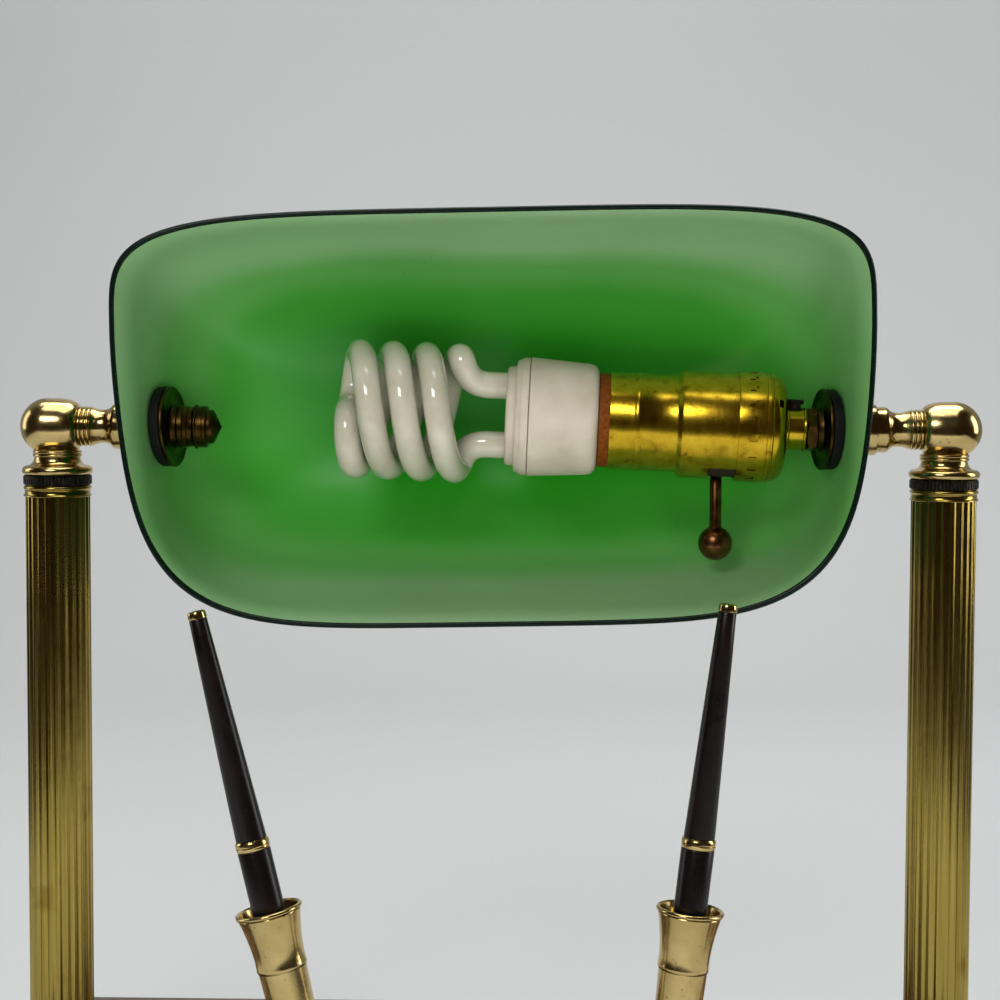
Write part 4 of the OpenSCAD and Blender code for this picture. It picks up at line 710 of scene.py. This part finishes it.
gasket_face, washer_face, hub_end = 110.109, 107.044, 104.394
outer_gasket_face, outer_washer_face, outer_hub_end = 115.373, 116.916, 119.89
for side, along in (("right", right_along), ("left", left_along)):
    shift = shade_shift if side == "right" else -shade_shift
    gasket = turned([(0.1, 5.5), (0, 5.7), (0, 12.8), (0.4, 13.1), (2.6, 13.1), (2.98, 12.8), (2.98, 5.7),
                     (2.9, 5.5), (0.1, 5.5)])
    fit(put(gasket, on_wall(side, gasket_face, True)), "inner_gasket_" + side, rubber, "shade", "rubber",
        "inner_gaskets")
    outer = turned([(0.1, 5.5), (0, 5.6), (0, 10.2), (0.3, 10.5), (1.2, 10.5), (1.48, 10.2), (1.48, 5.6),
                    (1.4, 5.5), (0.1, 5.5)])
    fit(put(outer, on_wall(side, outer_gasket_face, False)), "outer_gasket_" + side, rubber, "shade", "rubber",
        "outer_gaskets")
    dish = turned([(0.02, 5.3), (0.02, 12.7), (0.15, 13.1), (0.45, 13.3), (0.9, 13.3), (1.2, 13.15), (1.28, 12.8)]
                  + sweep((1.28, 12.8), (1.2, 7.3), -0.55, 8) + [(1.28, 6.9), (1.28, 5.3), (0.02, 5.3)])
    put(dish, on_wall(side, washer_face, True))
    hub = turned([(hub_end + shift, 5.3), (hub_end + shift, 6.7), (hub_end + shift + 0.3, 7.1),
                  (hub_end + shift + 1.4, 7.1), (hub_end + shift + 1.9, 7.3), (hub_end + shift + 1.9, 5.3),
                  (hub_end + shift, 5.3)])
    put(hub, along)
    fit(put(cut(dish, hub, "UNION")), "seat_washer_" + side, aged, "shade", "dark_brass", "inner_washers")
    back = turned([(0.02, 5.3), (0.02, 10.1), (0.3, 10.5), (1.0, 10.5), (1.3, 10.1), (1.3, 5.3), (0.02, 5.3)])
    put(back, on_wall(side, outer_washer_face, False))
    collar = turned([(outer_hub_end + shift - 2.2, 5.3), (outer_hub_end + shift - 2.2, 7.1),
                     (outer_hub_end + shift - 0.2, 7.1), (outer_hub_end + shift, 6.9),
                     (outer_hub_end + shift, 5.3), (outer_hub_end + shift - 2.2, 5.3)])
    put(collar, along)
    fit(put(cut(back, collar, "UNION")), "back_washer_" + side, aged, "shade", "dark_brass", "outer_washers")


# Lock nut, finial and hex nut
# On the left a round lock nut and a pointed finial close the nipple; on the right a hexagon nut does.
# All are turned brass gone brown, with fine tool rings round the finial.
finial_x, socket_x = 103.344, 100.344
lock = turned([(finial_x + a, r) for a, r in
               [(0.01, 5.2), (0.01, 6.8), (0.25, 7.0), (1.55, 7.0), (1.78, 6.8), (1.78, 5.2), (0.01, 5.2)]])
fit(put(lock, left_along), "lock_nut", aged, "lamp", "dark_brass", "left_lock_nut")
tip = finial_x - 12.3
finial = turned([(tip + a, r) for a, r in
                 [(0, 0), (0.13, 0.35), (2.33, 4.9), (2.83, 5.45), (3.33, 5.6), (4.33, 5.6), (4.53, 5.8),
                  (4.58, 6.5), (4.88, 6.8), (5.73, 6.8), (5.88, 6.65), (6.03, 6.8), (7.43, 6.75), (7.73, 6.8)]
                 + bead(8.3, 6.8, 0.5)
                 + [(8.93, 6.65), (9.33, 6.35), (9.63, 6.35), (10.73, 6.65), (10.88, 6.5), (11.03, 6.7),
                    (12.08, 6.95), (12.29, 6.8), (12.29, 5.2), (7.33, 5.2), (7.33, 0)]])
fit(put(finial, left_along), "finial", aged, "lamp", "dark_brass", "left_finial")
calm()
bpy.ops.mesh.primitive_cylinder_add(vertices=6, radius=7.45 * MM, depth=3.16 * MM,
                                    location=(0, 0, (socket_x + 1.6) * MM), rotation=(0, 0, math.radians(-9)))
nut = bpy.context.object
put(nut)
cut(nut, turned([(socket_x + a, r) for a, r in
                 [(-0.1, 0), (-0.1, 6.6), (0.55, 7.6), (2.65, 7.6), (3.3, 6.6), (3.3, 0)]]), "INTERSECT")
cut(nut, rod(0, 0, socket_x + 1.6, 5.2, 8))
fit(put(nut, right_along), "hex_nut", aged, "lamp", "dark_brass", "right_hex_nut")


# Socket cap
# Pressed brass sheet, brass plated a greenish yellow: a neck, a domed cap, and a ring whose
# edge is crimped over the shell with a row of small L-shaped marks.
tilt = math.radians(2.4)
on_socket = (Matrix.Translation((socket_x * MM, 0, axle_h * MM))
             @ Matrix.Rotation(tilt - math.pi / 2, 4, "Y"))

# Bright plated sheet: lime-gold, faintly brushed round the socket, with brown spots of age
plated, tree, shader = finish("brass_plated_sheet", Metallic=1.0)
where = add(tree, "TexCoord").outputs["Object"]
brushed = add(tree, "Mapping", {"Vector": where, "Scale": (1.0, 0.12, 0.12)})
lines_round = add(tree, "TexNoise", {"Vector": brushed.outputs[0], "Scale": 1500.0, "Detail": 2.0})
spots = add(tree, "TexNoise", {"Vector": where, "Scale": 260.0, "Detail": 6.0, "Roughness": 0.65})
tone = add(tree, "ValToRGB", {"Fac": spots.outputs["Fac"]},
           stops=[(0.28, "#86641a"), (0.42, "#c9a325"), (0.7, "#e0bf37")])
tree.links.new(tone.outputs[0], shader.inputs["Base Color"])
dull = add(tree, "MapRange", {"Value": lines_round.outputs["Fac"], "To Min": 0.16, "To Max": 0.3})
tree.links.new(dull.outputs[0], shader.inputs["Roughness"])
relief = add(tree, "Bump", {"Height": spots.outputs["Fac"], "Strength": 0.12, "Distance": 0.0003})
tree.links.new(relief.outputs[0], shader.inputs["Normal"])
dress(plated, "screw_shell")

dome = [(11.9 - 4.6 * math.cos(math.radians(a)), 12.95 + 4.6 * math.sin(math.radians(a)))
        for a in range(0, 91, 9)]
inside = [(11.9 - 4.1 * math.cos(math.radians(a)), 12.95 + 4.1 * math.sin(math.radians(a)))
          for a in range(90, -1, -9)]
cap_outline = ([(0.3, 5.8), (0.3, 6.9), (0.5, 7.2), (0.8, 7.3), (1.2, 7.2), (1.4, 7.0), (5.9, 7.0), (6.1, 7.2),
                (6.5, 7.3), (6.9, 7.3), (7.3, 7.7)] + dome
               + [(12.1, 17.85), (12.4, 18.03), (12.75, 18.03), (12.9, 17.7), (13.9, 17.7), (14.1, 18.03),
                  (14.4, 18.05), (22.7, 18.05), (23.0, 17.95), (23.1, 17.75), (23.1, 17.58), (12.6, 17.55),
                  (12.4, 17.05)] + inside + [(7.8, 7.3), (6.2, 5.8), (0.3, 5.8)])
cap = turned(cap_outline, 128)
for low, high in (((17.68, -1.2, 16.9), (18.4, 1.2, 17.8)), ((17.7, -1.19, 17.3), (18.4, -0.3, 19.6))):
    marks = []
    for k in range(20):
        mark = block(low, high)
        mark.matrix_world = Matrix.Rotation(math.radians(18 * k + 8), 4, "Z") @ mark.matrix_world
        marks.append(mark)
    take(*marks)
    bpy.ops.object.join()
    cut(cap, bpy.context.object)
hatch = block((14, -1.35, 9.0), (19, 1.35, 10.4))
hatch.matrix_world = Matrix.Rotation(math.radians(-61), 4, "Z") @ hatch.matrix_world
cut(cap, hatch)
cut(cap, rod(6, 0, 4.15, 2.2, 6, "X"))
fit(put(cap, on_socket), "socket_cap_pressed", plated, "lamp", "brass", "socket_cap")

# The set screw on the neck: blackened steel with a slotted head
screw = turned([(5.72, 0), (5.72, 1.9), (5.9, 2.1), (8.2, 2.1), (8.2, 2.75), (8.4, 2.95), (9.25, 2.95),
                (9.6, 2.6), (9.6, 0)], 48)
cut(screw, block((-4, -0.35, 9.0), (4, 0.35, 10.5)))
fit(put(screw, on_socket @ Matrix.Translation((0, 0, 4.15 * MM)) @ Matrix.Rotation(math.pi / 2, 4, "Y")),
    "set_screw", black_steel, "lamp", "black_steel", "socket_set_screw")


# Socket shell and liner
# The shell is drawn from the same plated sheet: a wide end under the cap, a step down to a narrower
# mouth with a rolled bead, and a slot for the lever. A fibre tube lines it and stands out at the mouth.
shell_outline = ([(12.9, 17.0), (12.9, 17.5), (13.1, 17.55), (40.8, 17.55), (41.3, 17.35), (42.3, 16.1),
                  (42.8, 15.9), (53.8, 15.9)] + sweep((53.8, 15.9), (56.6, 15.9), 0.42, 8)
                 + [(64.1, 15.9), (64.4, 15.8), (64.5, 15.6), (64.4, 15.4), (42.6, 15.4), (42.0, 15.6),
                    (41.0, 16.85), (40.5, 17.05), (12.9, 17.0)])
shell = turned(shell_outline, 128)
cut(shell, block((-20, -11, 23.1), (-2, 11, 31.78)))
fit(put(shell, on_socket), "socket_shell_drawn", plated, "lamp", "brass", "socket_shell")

# Vulcanised fibre: red-brown card with a matt, slightly hairy surface
fibre, tree, shader = finish("vulcanised_fibre", Roughness=0.75, Specular_IOR_Level=0.2)
where = add(tree, "TexCoord").outputs["Object"]
hairs = add(tree, "TexNoise", {"Vector": where, "Scale": 900.0, "Detail": 4.0})
tone = add(tree, "ValToRGB", {"Fac": hairs.outputs["Fac"]}, stops=[(0.3, "#552806"), (0.7, "#77400c")])
tree.links.new(tone.outputs[0], shader.inputs["Base Color"])
relief = add(tree, "Bump", {"Height": hairs.outputs["Fac"], "Strength": 0.4, "Distance": 0.0002})
tree.links.new(relief.outputs[0], shader.inputs["Normal"])
liner = turned([(42.95, 14.55), (42.95, 15.3), (67.6, 15.3), (67.9, 15.15), (67.9, 14.7), (67.7, 14.55),
                (42.95, 14.55)])
fit(put(liner, on_socket), "fibre_liner", fibre, "lamp", "card_liner", "socket_liner")

# The switch block is unglazed porcelain with a sandy skin, painted a near-black brown as painted shade for the
# shadow it lies in under the shell
porcelain_painted_dark, tree, shader = finish("unglazed_porcelain", Specular_IOR_Level=0.15)
where = add(tree, "TexCoord").outputs["Object"]
sand = add(tree, "TexNoise", {"Vector": where, "Scale": 1100.0, "Detail": 3.0})
# Painted shade: near-black brown stands for the shadow inside the shell
tone = add(tree, "ValToRGB", {"Fac": sand.outputs["Fac"]}, stops=[(0.3, "#1e1914"), (0.7, "#30281e")])
tree.links.new(tone.outputs[0], shader.inputs["Base Color"])
dull = add(tree, "MapRange", {"Value": sand.outputs["Fac"], "To Min": 0.6, "To Max": 0.8})
tree.links.new(dull.outputs[0], shader.inputs["Roughness"])
dress(porcelain_painted_dark, "switch_block")


# Switch lever
# A bronzed brass rod on a pivot pin, with a turned ball pressed on its end to push it by.
lever_x, lever_z = 71.111, 236
bronzed, tree, shader = finish("bronzed_brass", Metallic=1.0)
where = add(tree, "TexCoord").outputs["Object"]
handled = add(tree, "TexNoise", {"Vector": where, "Scale": 220.0, "Detail": 4.0})
tone = add(tree, "ValToRGB", {"Fac": handled.outputs["Fac"]},
           stops=[(0.25, "#5c3a20"), (0.5, "#7d5332"), (0.8, "#9a6d42")])
tree.links.new(tone.outputs[0], shader.inputs["Base Color"])
dull = add(tree, "MapRange", {"Value": handled.outputs["Fac"], "To Min": 0.22, "To Max": 0.38})
tree.links.new(dull.outputs[0], shader.inputs["Roughness"])
relief = add(tree, "Bump", {"Height": handled.outputs["Fac"], "Strength": 0.1, "Distance": 0.0003})
tree.links.new(relief.outputs[0], shader.inputs["Normal"])

at_pivot = Matrix.Translation((lever_x * MM, 0, lever_z * MM))
stem = turned([(-31.6, 0), (-31.6, 1.8), (-31.4, 1.95), (-12.5, 1.95), (-12.3, 1.85), (-3, 1.85), (-3, 0)], 48)
cut(stem, put(turned([(-2.5, 0), (-2.5, 2.9), (-2.2, 3.2), (2.2, 3.2), (2.5, 2.9), (2.5, 0)], 64),
              Matrix.Rotation(math.pi / 2, 4, "X")), "UNION")
cut(stem, put(turned([(-6, 0), (-6, 1.0), (-5.8, 1.2), (5.8, 1.2), (6, 1.0), (6, 0)], 32),
              Matrix.Rotation(math.pi / 2, 4, "X")), "UNION")
fit(put(stem, at_pivot), "lever_stem", bronzed, "switch_lever", "dark_brass", "lever_rod")
ball_r = 5.65
knob = turned([(-33.4 - ball_r * math.cos(math.radians(a)), ball_r * math.sin(math.radians(a)))
               for a in range(0, 153, 8)]
              + [(-28.35, 2.35), (-28.1, 2.3), (-28.1, 2.0), (-31.65, 2.0), (-31.65, 0)], 72)
fit(put(knob, at_pivot), "lever_knob", bronzed, "switch_lever", "dark_brass", "lever_ball")


# Bulb housing and collar
# Moulded white plastic, yellowed a little: a housing that widens to a seam, and a stepped collar
# that holds the two legs of the glass tube. Both are left bare of print.
white_plastic, tree, shader = finish("yellowed_white_plastic", IOR=1.5)
where = add(tree, "TexCoord").outputs["Object"]
grime = add(tree, "TexNoise", {"Vector": where, "Scale": 120.0, "Detail": 5.0})
tone = add(tree, "ValToRGB", {"Fac": grime.outputs["Fac"]},
           stops=[(0.25, "#ab9f8d"), (0.5, "#b8ad9b"), (0.8, "#c3b9a8")])
tree.links.new(tone.outputs[0], shader.inputs["Base Color"])
skin = add(tree, "TexNoise", {"Vector": where, "Scale": 2200.0, "Detail": 1.0})
dull = add(tree, "MapRange", {"Value": grime.outputs["Fac"], "To Min": 0.42, "To Max": 0.55})
tree.links.new(dull.outputs[0], shader.inputs["Roughness"])
relief = add(tree, "Bump", {"Height": skin.outputs["Fac"], "Strength": 0.12, "Distance": 0.0001})
tree.links.new(relief.outputs[0], shader.inputs["Normal"])

housing = turned([(68.1, 13.15), (68.1, 15.4), (68.3, 16.3), (68.9, 17.2), (69.9, 17.85), (71.2, 18.15)]
                 + [(88.6, 19.35), (90.1, 19.45), (90.35, 19.3), (90.45, 18.9), (90.45, 17.5), (73, 17.0),
                    (70.1, 15.4), (70.1, 11.2), (71.1, 11.2), (71.1, 13.15), (68.1, 13.15)], 128)
fit(put(housing, on_socket), "bulb_base_housing", white_plastic, "bulb", "bulb_plastic", "bulb_housing")
collar = turned([(87.8, 0), (87.8, 17.3), (90.6, 17.3), (90.6, 18.9), (90.75, 19.15), (91.1, 19.25), (92.9, 19.1),
                 (93.3, 18.9), (93.4, 18.65), (94.5, 18.3), (94.9, 17.9), (94.95, 16.4), (97.0, 16.2), (97.6, 15.9),
                 (97.95, 15.4), (98.0, 14.9), (98.0, 0)], 128)
for s in (-9.7, 9.7):
    cut(collar, rod(s, 0, 94, 4.5, 16))
fit(put(collar, on_socket), "bulb_tube_collar", white_plastic, "bulb", "bulb_plastic", "bulb_collar")


# Spiral tube
# One glass tube, coated white inside and bent hot into a double spiral whose strands meet at the tip.
# A tube along a spiral is no primitive's shape, so it is a curve with a round section made a mesh.
spiral_r, tube_r, spiral_pitch, spiral_turns, leg_off = 18.55, 4.45, 21.7, 1.5, 9.7
spiral_start, nose_end, tip_d, leg_bend, tip_bend = 114, 98, 149.55, 9, 12


def helix_point(angle):
    """A point of one strand's middle line, angle in degrees from its start."""
    g = math.radians(angle - 180)
    return Vector((spiral_r * math.cos(g), spiral_r * math.sin(g), spiral_start + spiral_pitch * angle / 360))


def helix_way(angle):
    """The direction of the strand there."""
    g = math.radians(angle - 180)
    return Vector((-math.sin(g) * spiral_r, math.cos(g) * spiral_r, spiral_pitch / math.tau)).normalized()


def bend(p, q, r, s, u):
    """A point on a smooth bend from p to s that sets out towards q and comes in from r."""
    return (1 - u) ** 3 * p + 3 * u * (1 - u) ** 2 * q + 3 * u * u * (1 - u) * r + u ** 3 * s


leg = Vector((-leg_off, 0, nose_end + 6))
tip = Vector((0, 0, tip_d))
far = 360 * spiral_turns
tip_side = math.cos(math.radians(far - 180))
half = ([Vector((-leg_off, 0, 88.7)), Vector((-leg_off, 0, nose_end)), leg]
        + [bend(leg, leg + Vector((0, 0, leg_bend)), helix_point(0) - leg_bend * helix_way(0),
                helix_point(0), i / 14) for i in range(1, 14)]
        + [helix_point(a) for a in range(0, int(far) + 1, 9)]
        + [bend(helix_point(far), helix_point(far) + tip_bend * helix_way(far),
                tip + Vector((0, tip_side * tip_bend, 0)), tip, i / 14) for i in range(1, 14)])
path = half + [tip] + [Vector((-p.x, -p.y, p.z)) for p in reversed(half)]
line = bpy.data.curves.new("bent_tube", "CURVE")
line.dimensions = "3D"
line.bevel_depth = tube_r * MM
line.bevel_resolution = 10
line.use_fill_caps = True
spline = line.splines.new("POLY")
spline.points.add(len(path) - 1)
for point, p in zip(spline.points, path):
    point.co = (p.x * MM, p.y * MM, p.z * MM, 1)
spiral = bpy.data.objects.new("spiral", line)
bpy.context.scene.collection.objects.link(spiral)
take(spiral)
bpy.ops.object.convert(target="MESH")
spiral = bpy.context.object
bpy.ops.object.mode_set(mode="EDIT")
bpy.ops.mesh.select_all(action="SELECT")
bpy.ops.mesh.remove_doubles(threshold=1e-7)
bpy.ops.mesh.normals_make_consistent(inside=False)
bpy.ops.object.mode_set(mode="OBJECT")

# Clear glass over a white powder: a warm white that is greyer near the ends, under a wet gloss
white_glass, tree, shader = finish("coated_lamp_glass", IOR=1.5, Roughness=0.12, Coat_Weight=1.0,
                                   Coat_Roughness=0.05, Subsurface_Weight=0.15, Subsurface_Scale=0.003)
where = add(tree, "TexCoord").outputs["Object"]
powder = add(tree, "TexNoise", {"Vector": where, "Scale": 90.0, "Detail": 4.0})
tone = add(tree, "ValToRGB", {"Fac": powder.outputs["Fac"]},
           stops=[(0.25, "#aaa591"), (0.5, "#b7b29f"), (0.8, "#c4bfad")])
tree.links.new(tone.outputs[0], shader.inputs["Base Color"])
relief = add(tree, "Bump", {"Height": powder.outputs["Fac"], "Strength": 0.05, "Distance": 0.0005})
tree.links.new(relief.outputs[0], shader.inputs["Normal"])
fit(put(spiral, on_socket, smooth=60), "spiral_glass_tube", white_glass, "bulb", "bulb_glass", "bulb_tube")

# The bulb's screw cap: nickel plated sheet rolled into a coarse round thread
nickel, tree, shader = finish("nickel_plated_sheet", Metallic=1.0)
where = add(tree, "TexCoord").outputs["Object"]
rubs = add(tree, "TexNoise", {"Vector": where, "Scale": 500.0, "Detail": 4.0})
tone = add(tree, "ValToRGB", {"Fac": rubs.outputs["Fac"]}, stops=[(0.3, "#a9a59b"), (0.7, "#c9c6bd")])
tree.links.new(tone.outputs[0], shader.inputs["Base Color"])
dull = add(tree, "MapRange", {"Value": rubs.outputs["Fac"], "To Min": 0.18, "To Max": 0.32})
tree.links.new(dull.outputs[0], shader.inputs["Roughness"])
thread = [(50.4 + 0.605 * i, 12.55 + 0.55 * math.cos(math.tau * i / 6)) for i in range(31)]
cap = turned([(47.75, 0), (47.75, 5.4), (50.0, 12.0)] + thread
             + [(70.8, 13.1), (70.8, 12.5), (51.2, 11.5), (51.2, 0)], 96)
fit(put(cap, on_socket), "bulb_thread_cap", nickel, "bulb", "nickel", "bulb_screw_cap")


# Pen holders
# Each pen stands in a spun brass funnel that tips on a pin and turns on a plate screwed to the base.
dress(brass, "pen_plates", "pen_plate_screws", "left_swivel", "right_swivel")
leans = {"left": -13.4, "right": 6.5}
for side, lean in leans.items():
    on_pen = (Matrix.Translation(((-53 if side == "left" else 53) * MM, -68 * MM, 36 * MM))
              @ Matrix.Rotation(math.radians(lean), 4, "Y"))
    funnel = turned([(8.2, 0), (8.2, 5.4), (8.6, 5.9), (9.2, 6.0), (12, 5.9), (14, 6.1), (18.6, 6.6), (19, 7.0),
                     (19.6, 7.2), (20.2, 7.0), (20.6, 6.75), (43.4, 7.4), (43.8, 7.7), (44.3, 7.85), (44.8, 7.75)]
                    + sweep((44.8, 7.6), (60.6, 9.7), -0.5) + bead(61.6, 9.6, 0.75)
                    + [(61.9, 9.0), (56, 7.6), (50, 6.2), (45, 5.45), (12.75, 5.42), (12.75, 0)], 96)
    tongue = block((-3.8, -2, 0), (3.8, 2, 9))
    cut(tongue, rod(0, 0, 0, 3.8, 4, "Y"), "UNION")
    cut(funnel, tongue, "UNION")
    cut(funnel, rod(0, 0, 0, 1.58, 10, "Y"))
    fit(put(funnel, on_pen), "pen_funnel_" + side, brass, side + "_pen_cup", "brass", side + "_funnel")


# Pens
# Turned from dark brown plastic and buffed: a barrel, a brass ring, a long taper and a brass end cap.
pen_plastic, tree, shader = finish("buffed_dark_plastic", IOR=1.45, Specular_IOR_Level=0.35)
where = add(tree, "TexCoord").outputs["Object"]
swirl = add(tree, "TexNoise", {"Vector": where, "Scale": 90.0, "Detail": 4.0, "Distortion": 1.5})
tone = add(tree, "ValToRGB", {"Fac": swirl.outputs["Fac"]}, stops=[(0.3, "#080505"), (0.7, "#120b0a")])
tree.links.new(tone.outputs[0], shader.inputs["Base Color"])
dull = add(tree, "MapRange", {"Value": swirl.outputs["Fac"], "To Min": 0.22, "To Max": 0.36})
tree.links.new(dull.outputs[0], shader.inputs["Roughness"])

# The point is bright steel with fine turning marks
bright, tree, shader = finish("bright_steel", Metallic=1.0)
where = add(tree, "TexCoord").outputs["Object"]
marks_round = add(tree, "TexNoise", {"Vector": where, "Scale": 1400.0, "Detail": 2.0})
tone = add(tree, "ValToRGB", {"Fac": marks_round.outputs["Fac"]}, stops=[(0.3, "#b9bbbd"), (0.7, "#d2d4d6")])
tree.links.new(tone.outputs[0], shader.inputs["Base Color"])
dull = add(tree, "MapRange", {"Value": marks_round.outputs["Fac"], "To Min": 0.12, "To Max": 0.24})
tree.links.new(dull.outputs[0], shader.inputs["Roughness"])
dress(bright, "left_pen_point", "right_pen_point")

for side, lean in leans.items():
    on_pen = (Matrix.Translation(((-53 if side == "left" else 53) * MM, -68 * MM, 36 * MM))
              @ Matrix.Rotation(math.radians(lean), 4, "Y"))
    barrel = turned([(22.05, 0), (22.05, 3.2), (22.4, 3.45), (32, 3.9), (44.4, 4.75), (45.0, 4.95), (45.6, 5.05),
                     (80.4, 5.05), (80.7, 4.9), (80.75, 3.95), (84.05, 3.95), (84.05, 4.55), (84.25, 4.72),
                     (110, 4.02), (140, 3.12), (152.3, 2.73), (152.55, 2.6), (152.55, 0)], 64)
    fit(put(barrel, on_pen), "pen_barrel_" + side, pen_plastic, side + "_pen", "black_plastic",
        side + "_pen_barrel")
    ring = turned([(80.8, 4.0), (80.8, 4.9), (81.0, 5.15), (81.3, 5.2), (81.9, 5.2), (82.1, 5.0), (82.3, 5.2),
                   (83.2, 5.2), (83.6, 5.0), (84.0, 4.75), (84.0, 4.0), (80.8, 4.0)], 64)
    fit(put(ring, on_pen), "pen_ring_" + side, brass, side + "_pen", "brass", side + "_pen_trim")
    end = turned([(152.6, 0), (152.6, 2.65), (152.75, 2.82), (153.1, 2.85), (154.3, 2.8), (154.75, 2.6),
                  (154.95, 2.1), (155, 1.4), (154.9, 0)], 48)
    fit(put(end, on_pen), "pen_end_" + side, brass, side + "_pen", "brass", side + "_pen_trim")


# Studio
# A pale sheet that runs from the table up behind the lamp, two soft boxes and a dim room round them.
# The room's dark side is in front, where the camera stands, as it shows in the brass.
calm()
bpy.ops.mesh.primitive_plane_add(size=1, location=(0.02, 0.2, 0))
sweep_sheet = bpy.context.object
sweep_sheet.scale = (1.28, 1.6, 1)
bpy.ops.object.transform_apply(location=True, rotation=False, scale=True)
bpy.ops.object.mode_set(mode="EDIT")
pick(sweep_sheet, "verts", lambda v: v.co.y > 0)
for i in range(1, 13):
    a, b = math.radians(7.5 * (i - 1)), math.radians(7.5 * i)
    bpy.ops.mesh.extrude_region_move(TRANSFORM_OT_translate={
        "value": (0, 0.6 * (math.sin(b) - math.sin(a)), 0.6 * (math.cos(a) - math.cos(b)))})
bpy.ops.mesh.extrude_region_move(TRANSFORM_OT_translate={"value": (0, 0, 2.4)})
bpy.ops.mesh.select_all(action="SELECT")
bpy.ops.mesh.normals_make_consistent(inside=False)
bpy.ops.object.mode_set(mode="OBJECT")
bpy.ops.object.shade_smooth()
sweep_sheet.name = "paper_sweep"
paper, tree, shader = finish("pale_paper", Roughness=0.9)
where = add(tree, "TexCoord").outputs["Object"]
fade = add(tree, "TexNoise", {"Vector": where, "Scale": 1.2, "Detail": 1.0})
tone = add(tree, "ValToRGB", {"Fac": fade.outputs["Fac"]}, stops=[(0.3, "#c6c9c9"), (0.7, "#cdd0d0")])
tree.links.new(tone.outputs[0], shader.inputs["Base Color"])
sweep_sheet.data.materials.append(paper)


def soft_box(name, place, aim, width, height, watts, mirrored=True):
    """A soft box: an area lamp at place that points at aim, and that polished pieces mirror or not."""
    lamp = bpy.data.lights.new(name, "AREA")
    lamp.shape = "RECTANGLE"
    lamp.size, lamp.size_y, lamp.energy = width, height, watts
    made = bpy.data.objects.new(name, lamp)
    made.location = place
    made.rotation_euler = (Vector(aim) - Vector(place)).to_track_quat("-Z", "Y").to_euler()
    made.visible_glossy = mirrored
    made.visible_camera = False
    bpy.context.scene.collection.objects.link(made)


soft_box("key_box", (-0.42, -1.15, 0.95), (0, 0, 0.22), 0.5, 0.34, 5)
soft_box("fill_box", (0, -1.3, 0.2), (0, 0, 0.25), 1.4, 0.5, 7.5, mirrored=False)
soft_box("low_box", (0, -0.6, 0.03), (0, 0.02, 0.27), 0.8, 0.3, 3.2, mirrored=False)
soft_box("top_box", (0.1, 0.1, 1.7), (0, 0.15, 0), 1.6, 1.0, 15)
soft_box("right_box", (1.4, 0.1, 0.55), (0, 0, 0.2), 0.5, 1.0, 7)
soft_box("left_box", (-1.4, 0.3, 0.55), (0, 0, 0.2), 0.5, 1.0, 3)
soft_box("backdrop_box", (0, 0.6, 2.2), (0, 1.6, 0.5), 2.0, 0.6, 19)

# A room that is dark in front of the lamp and pale behind it, and pale where the camera sees it
world = bpy.data.worlds.new("studio_room")
world.use_nodes = True
tree = world.node_tree
background = tree.nodes["Background"]
way = add(tree, "TexCoord").outputs["Generated"]
apart = add(tree, "SeparateXYZ", {"Vector": way})
room = add(tree, "ValToRGB", {"Fac": apart.outputs["Y"]}, stops=[(0.0, "#2b2119"), (0.5, "#8f918f")])
seen = add(tree, "LightPath").outputs["Is Camera Ray"]
tone = add(tree, "Mix", {"Factor": seen, 6: room.outputs[0], 7: linear("#c9cbcb")}, data_type="RGBA")
tree.links.new(tone.outputs[2], background.inputs["Color"])
background.inputs["Strength"].default_value = 1.0
bpy.context.scene.world = world


# Camera
# It stands in front of the lamp at the height of the shade and looks slightly down, as photographed.
yaw, pitch, roll = math.radians(-1.5), math.radians(3.61), math.radians(0.21)
forward = Vector((math.sin(yaw) * math.cos(pitch), math.cos(yaw) * math.cos(pitch), -math.sin(pitch)))
right = Vector((math.cos(yaw), -math.sin(yaw), 0))
up = right.cross(forward)
level_right = math.cos(roll) * right + math.sin(roll) * up
level_up = -math.sin(roll) * right + math.cos(roll) * up
lens = bpy.data.cameras.new("camera")
lens.sensor_width = 36
lens.lens = 81
lens.clip_start = 0.01
camera = bpy.data.objects.new("camera", lens)
camera.matrix_world = Matrix((
    (level_right.x, level_up.x, -forward.x, 0.0198),
    (level_right.y, level_up.y, -forward.y, -0.7372),
    (level_right.z, level_up.z, -forward.z, 0.2629),
    (0, 0, 0, 1)))
bpy.context.scene.collection.objects.link(camera)
bpy.context.scene.camera = camera
bpy.context.scene.view_settings.view_transform = "Standard"
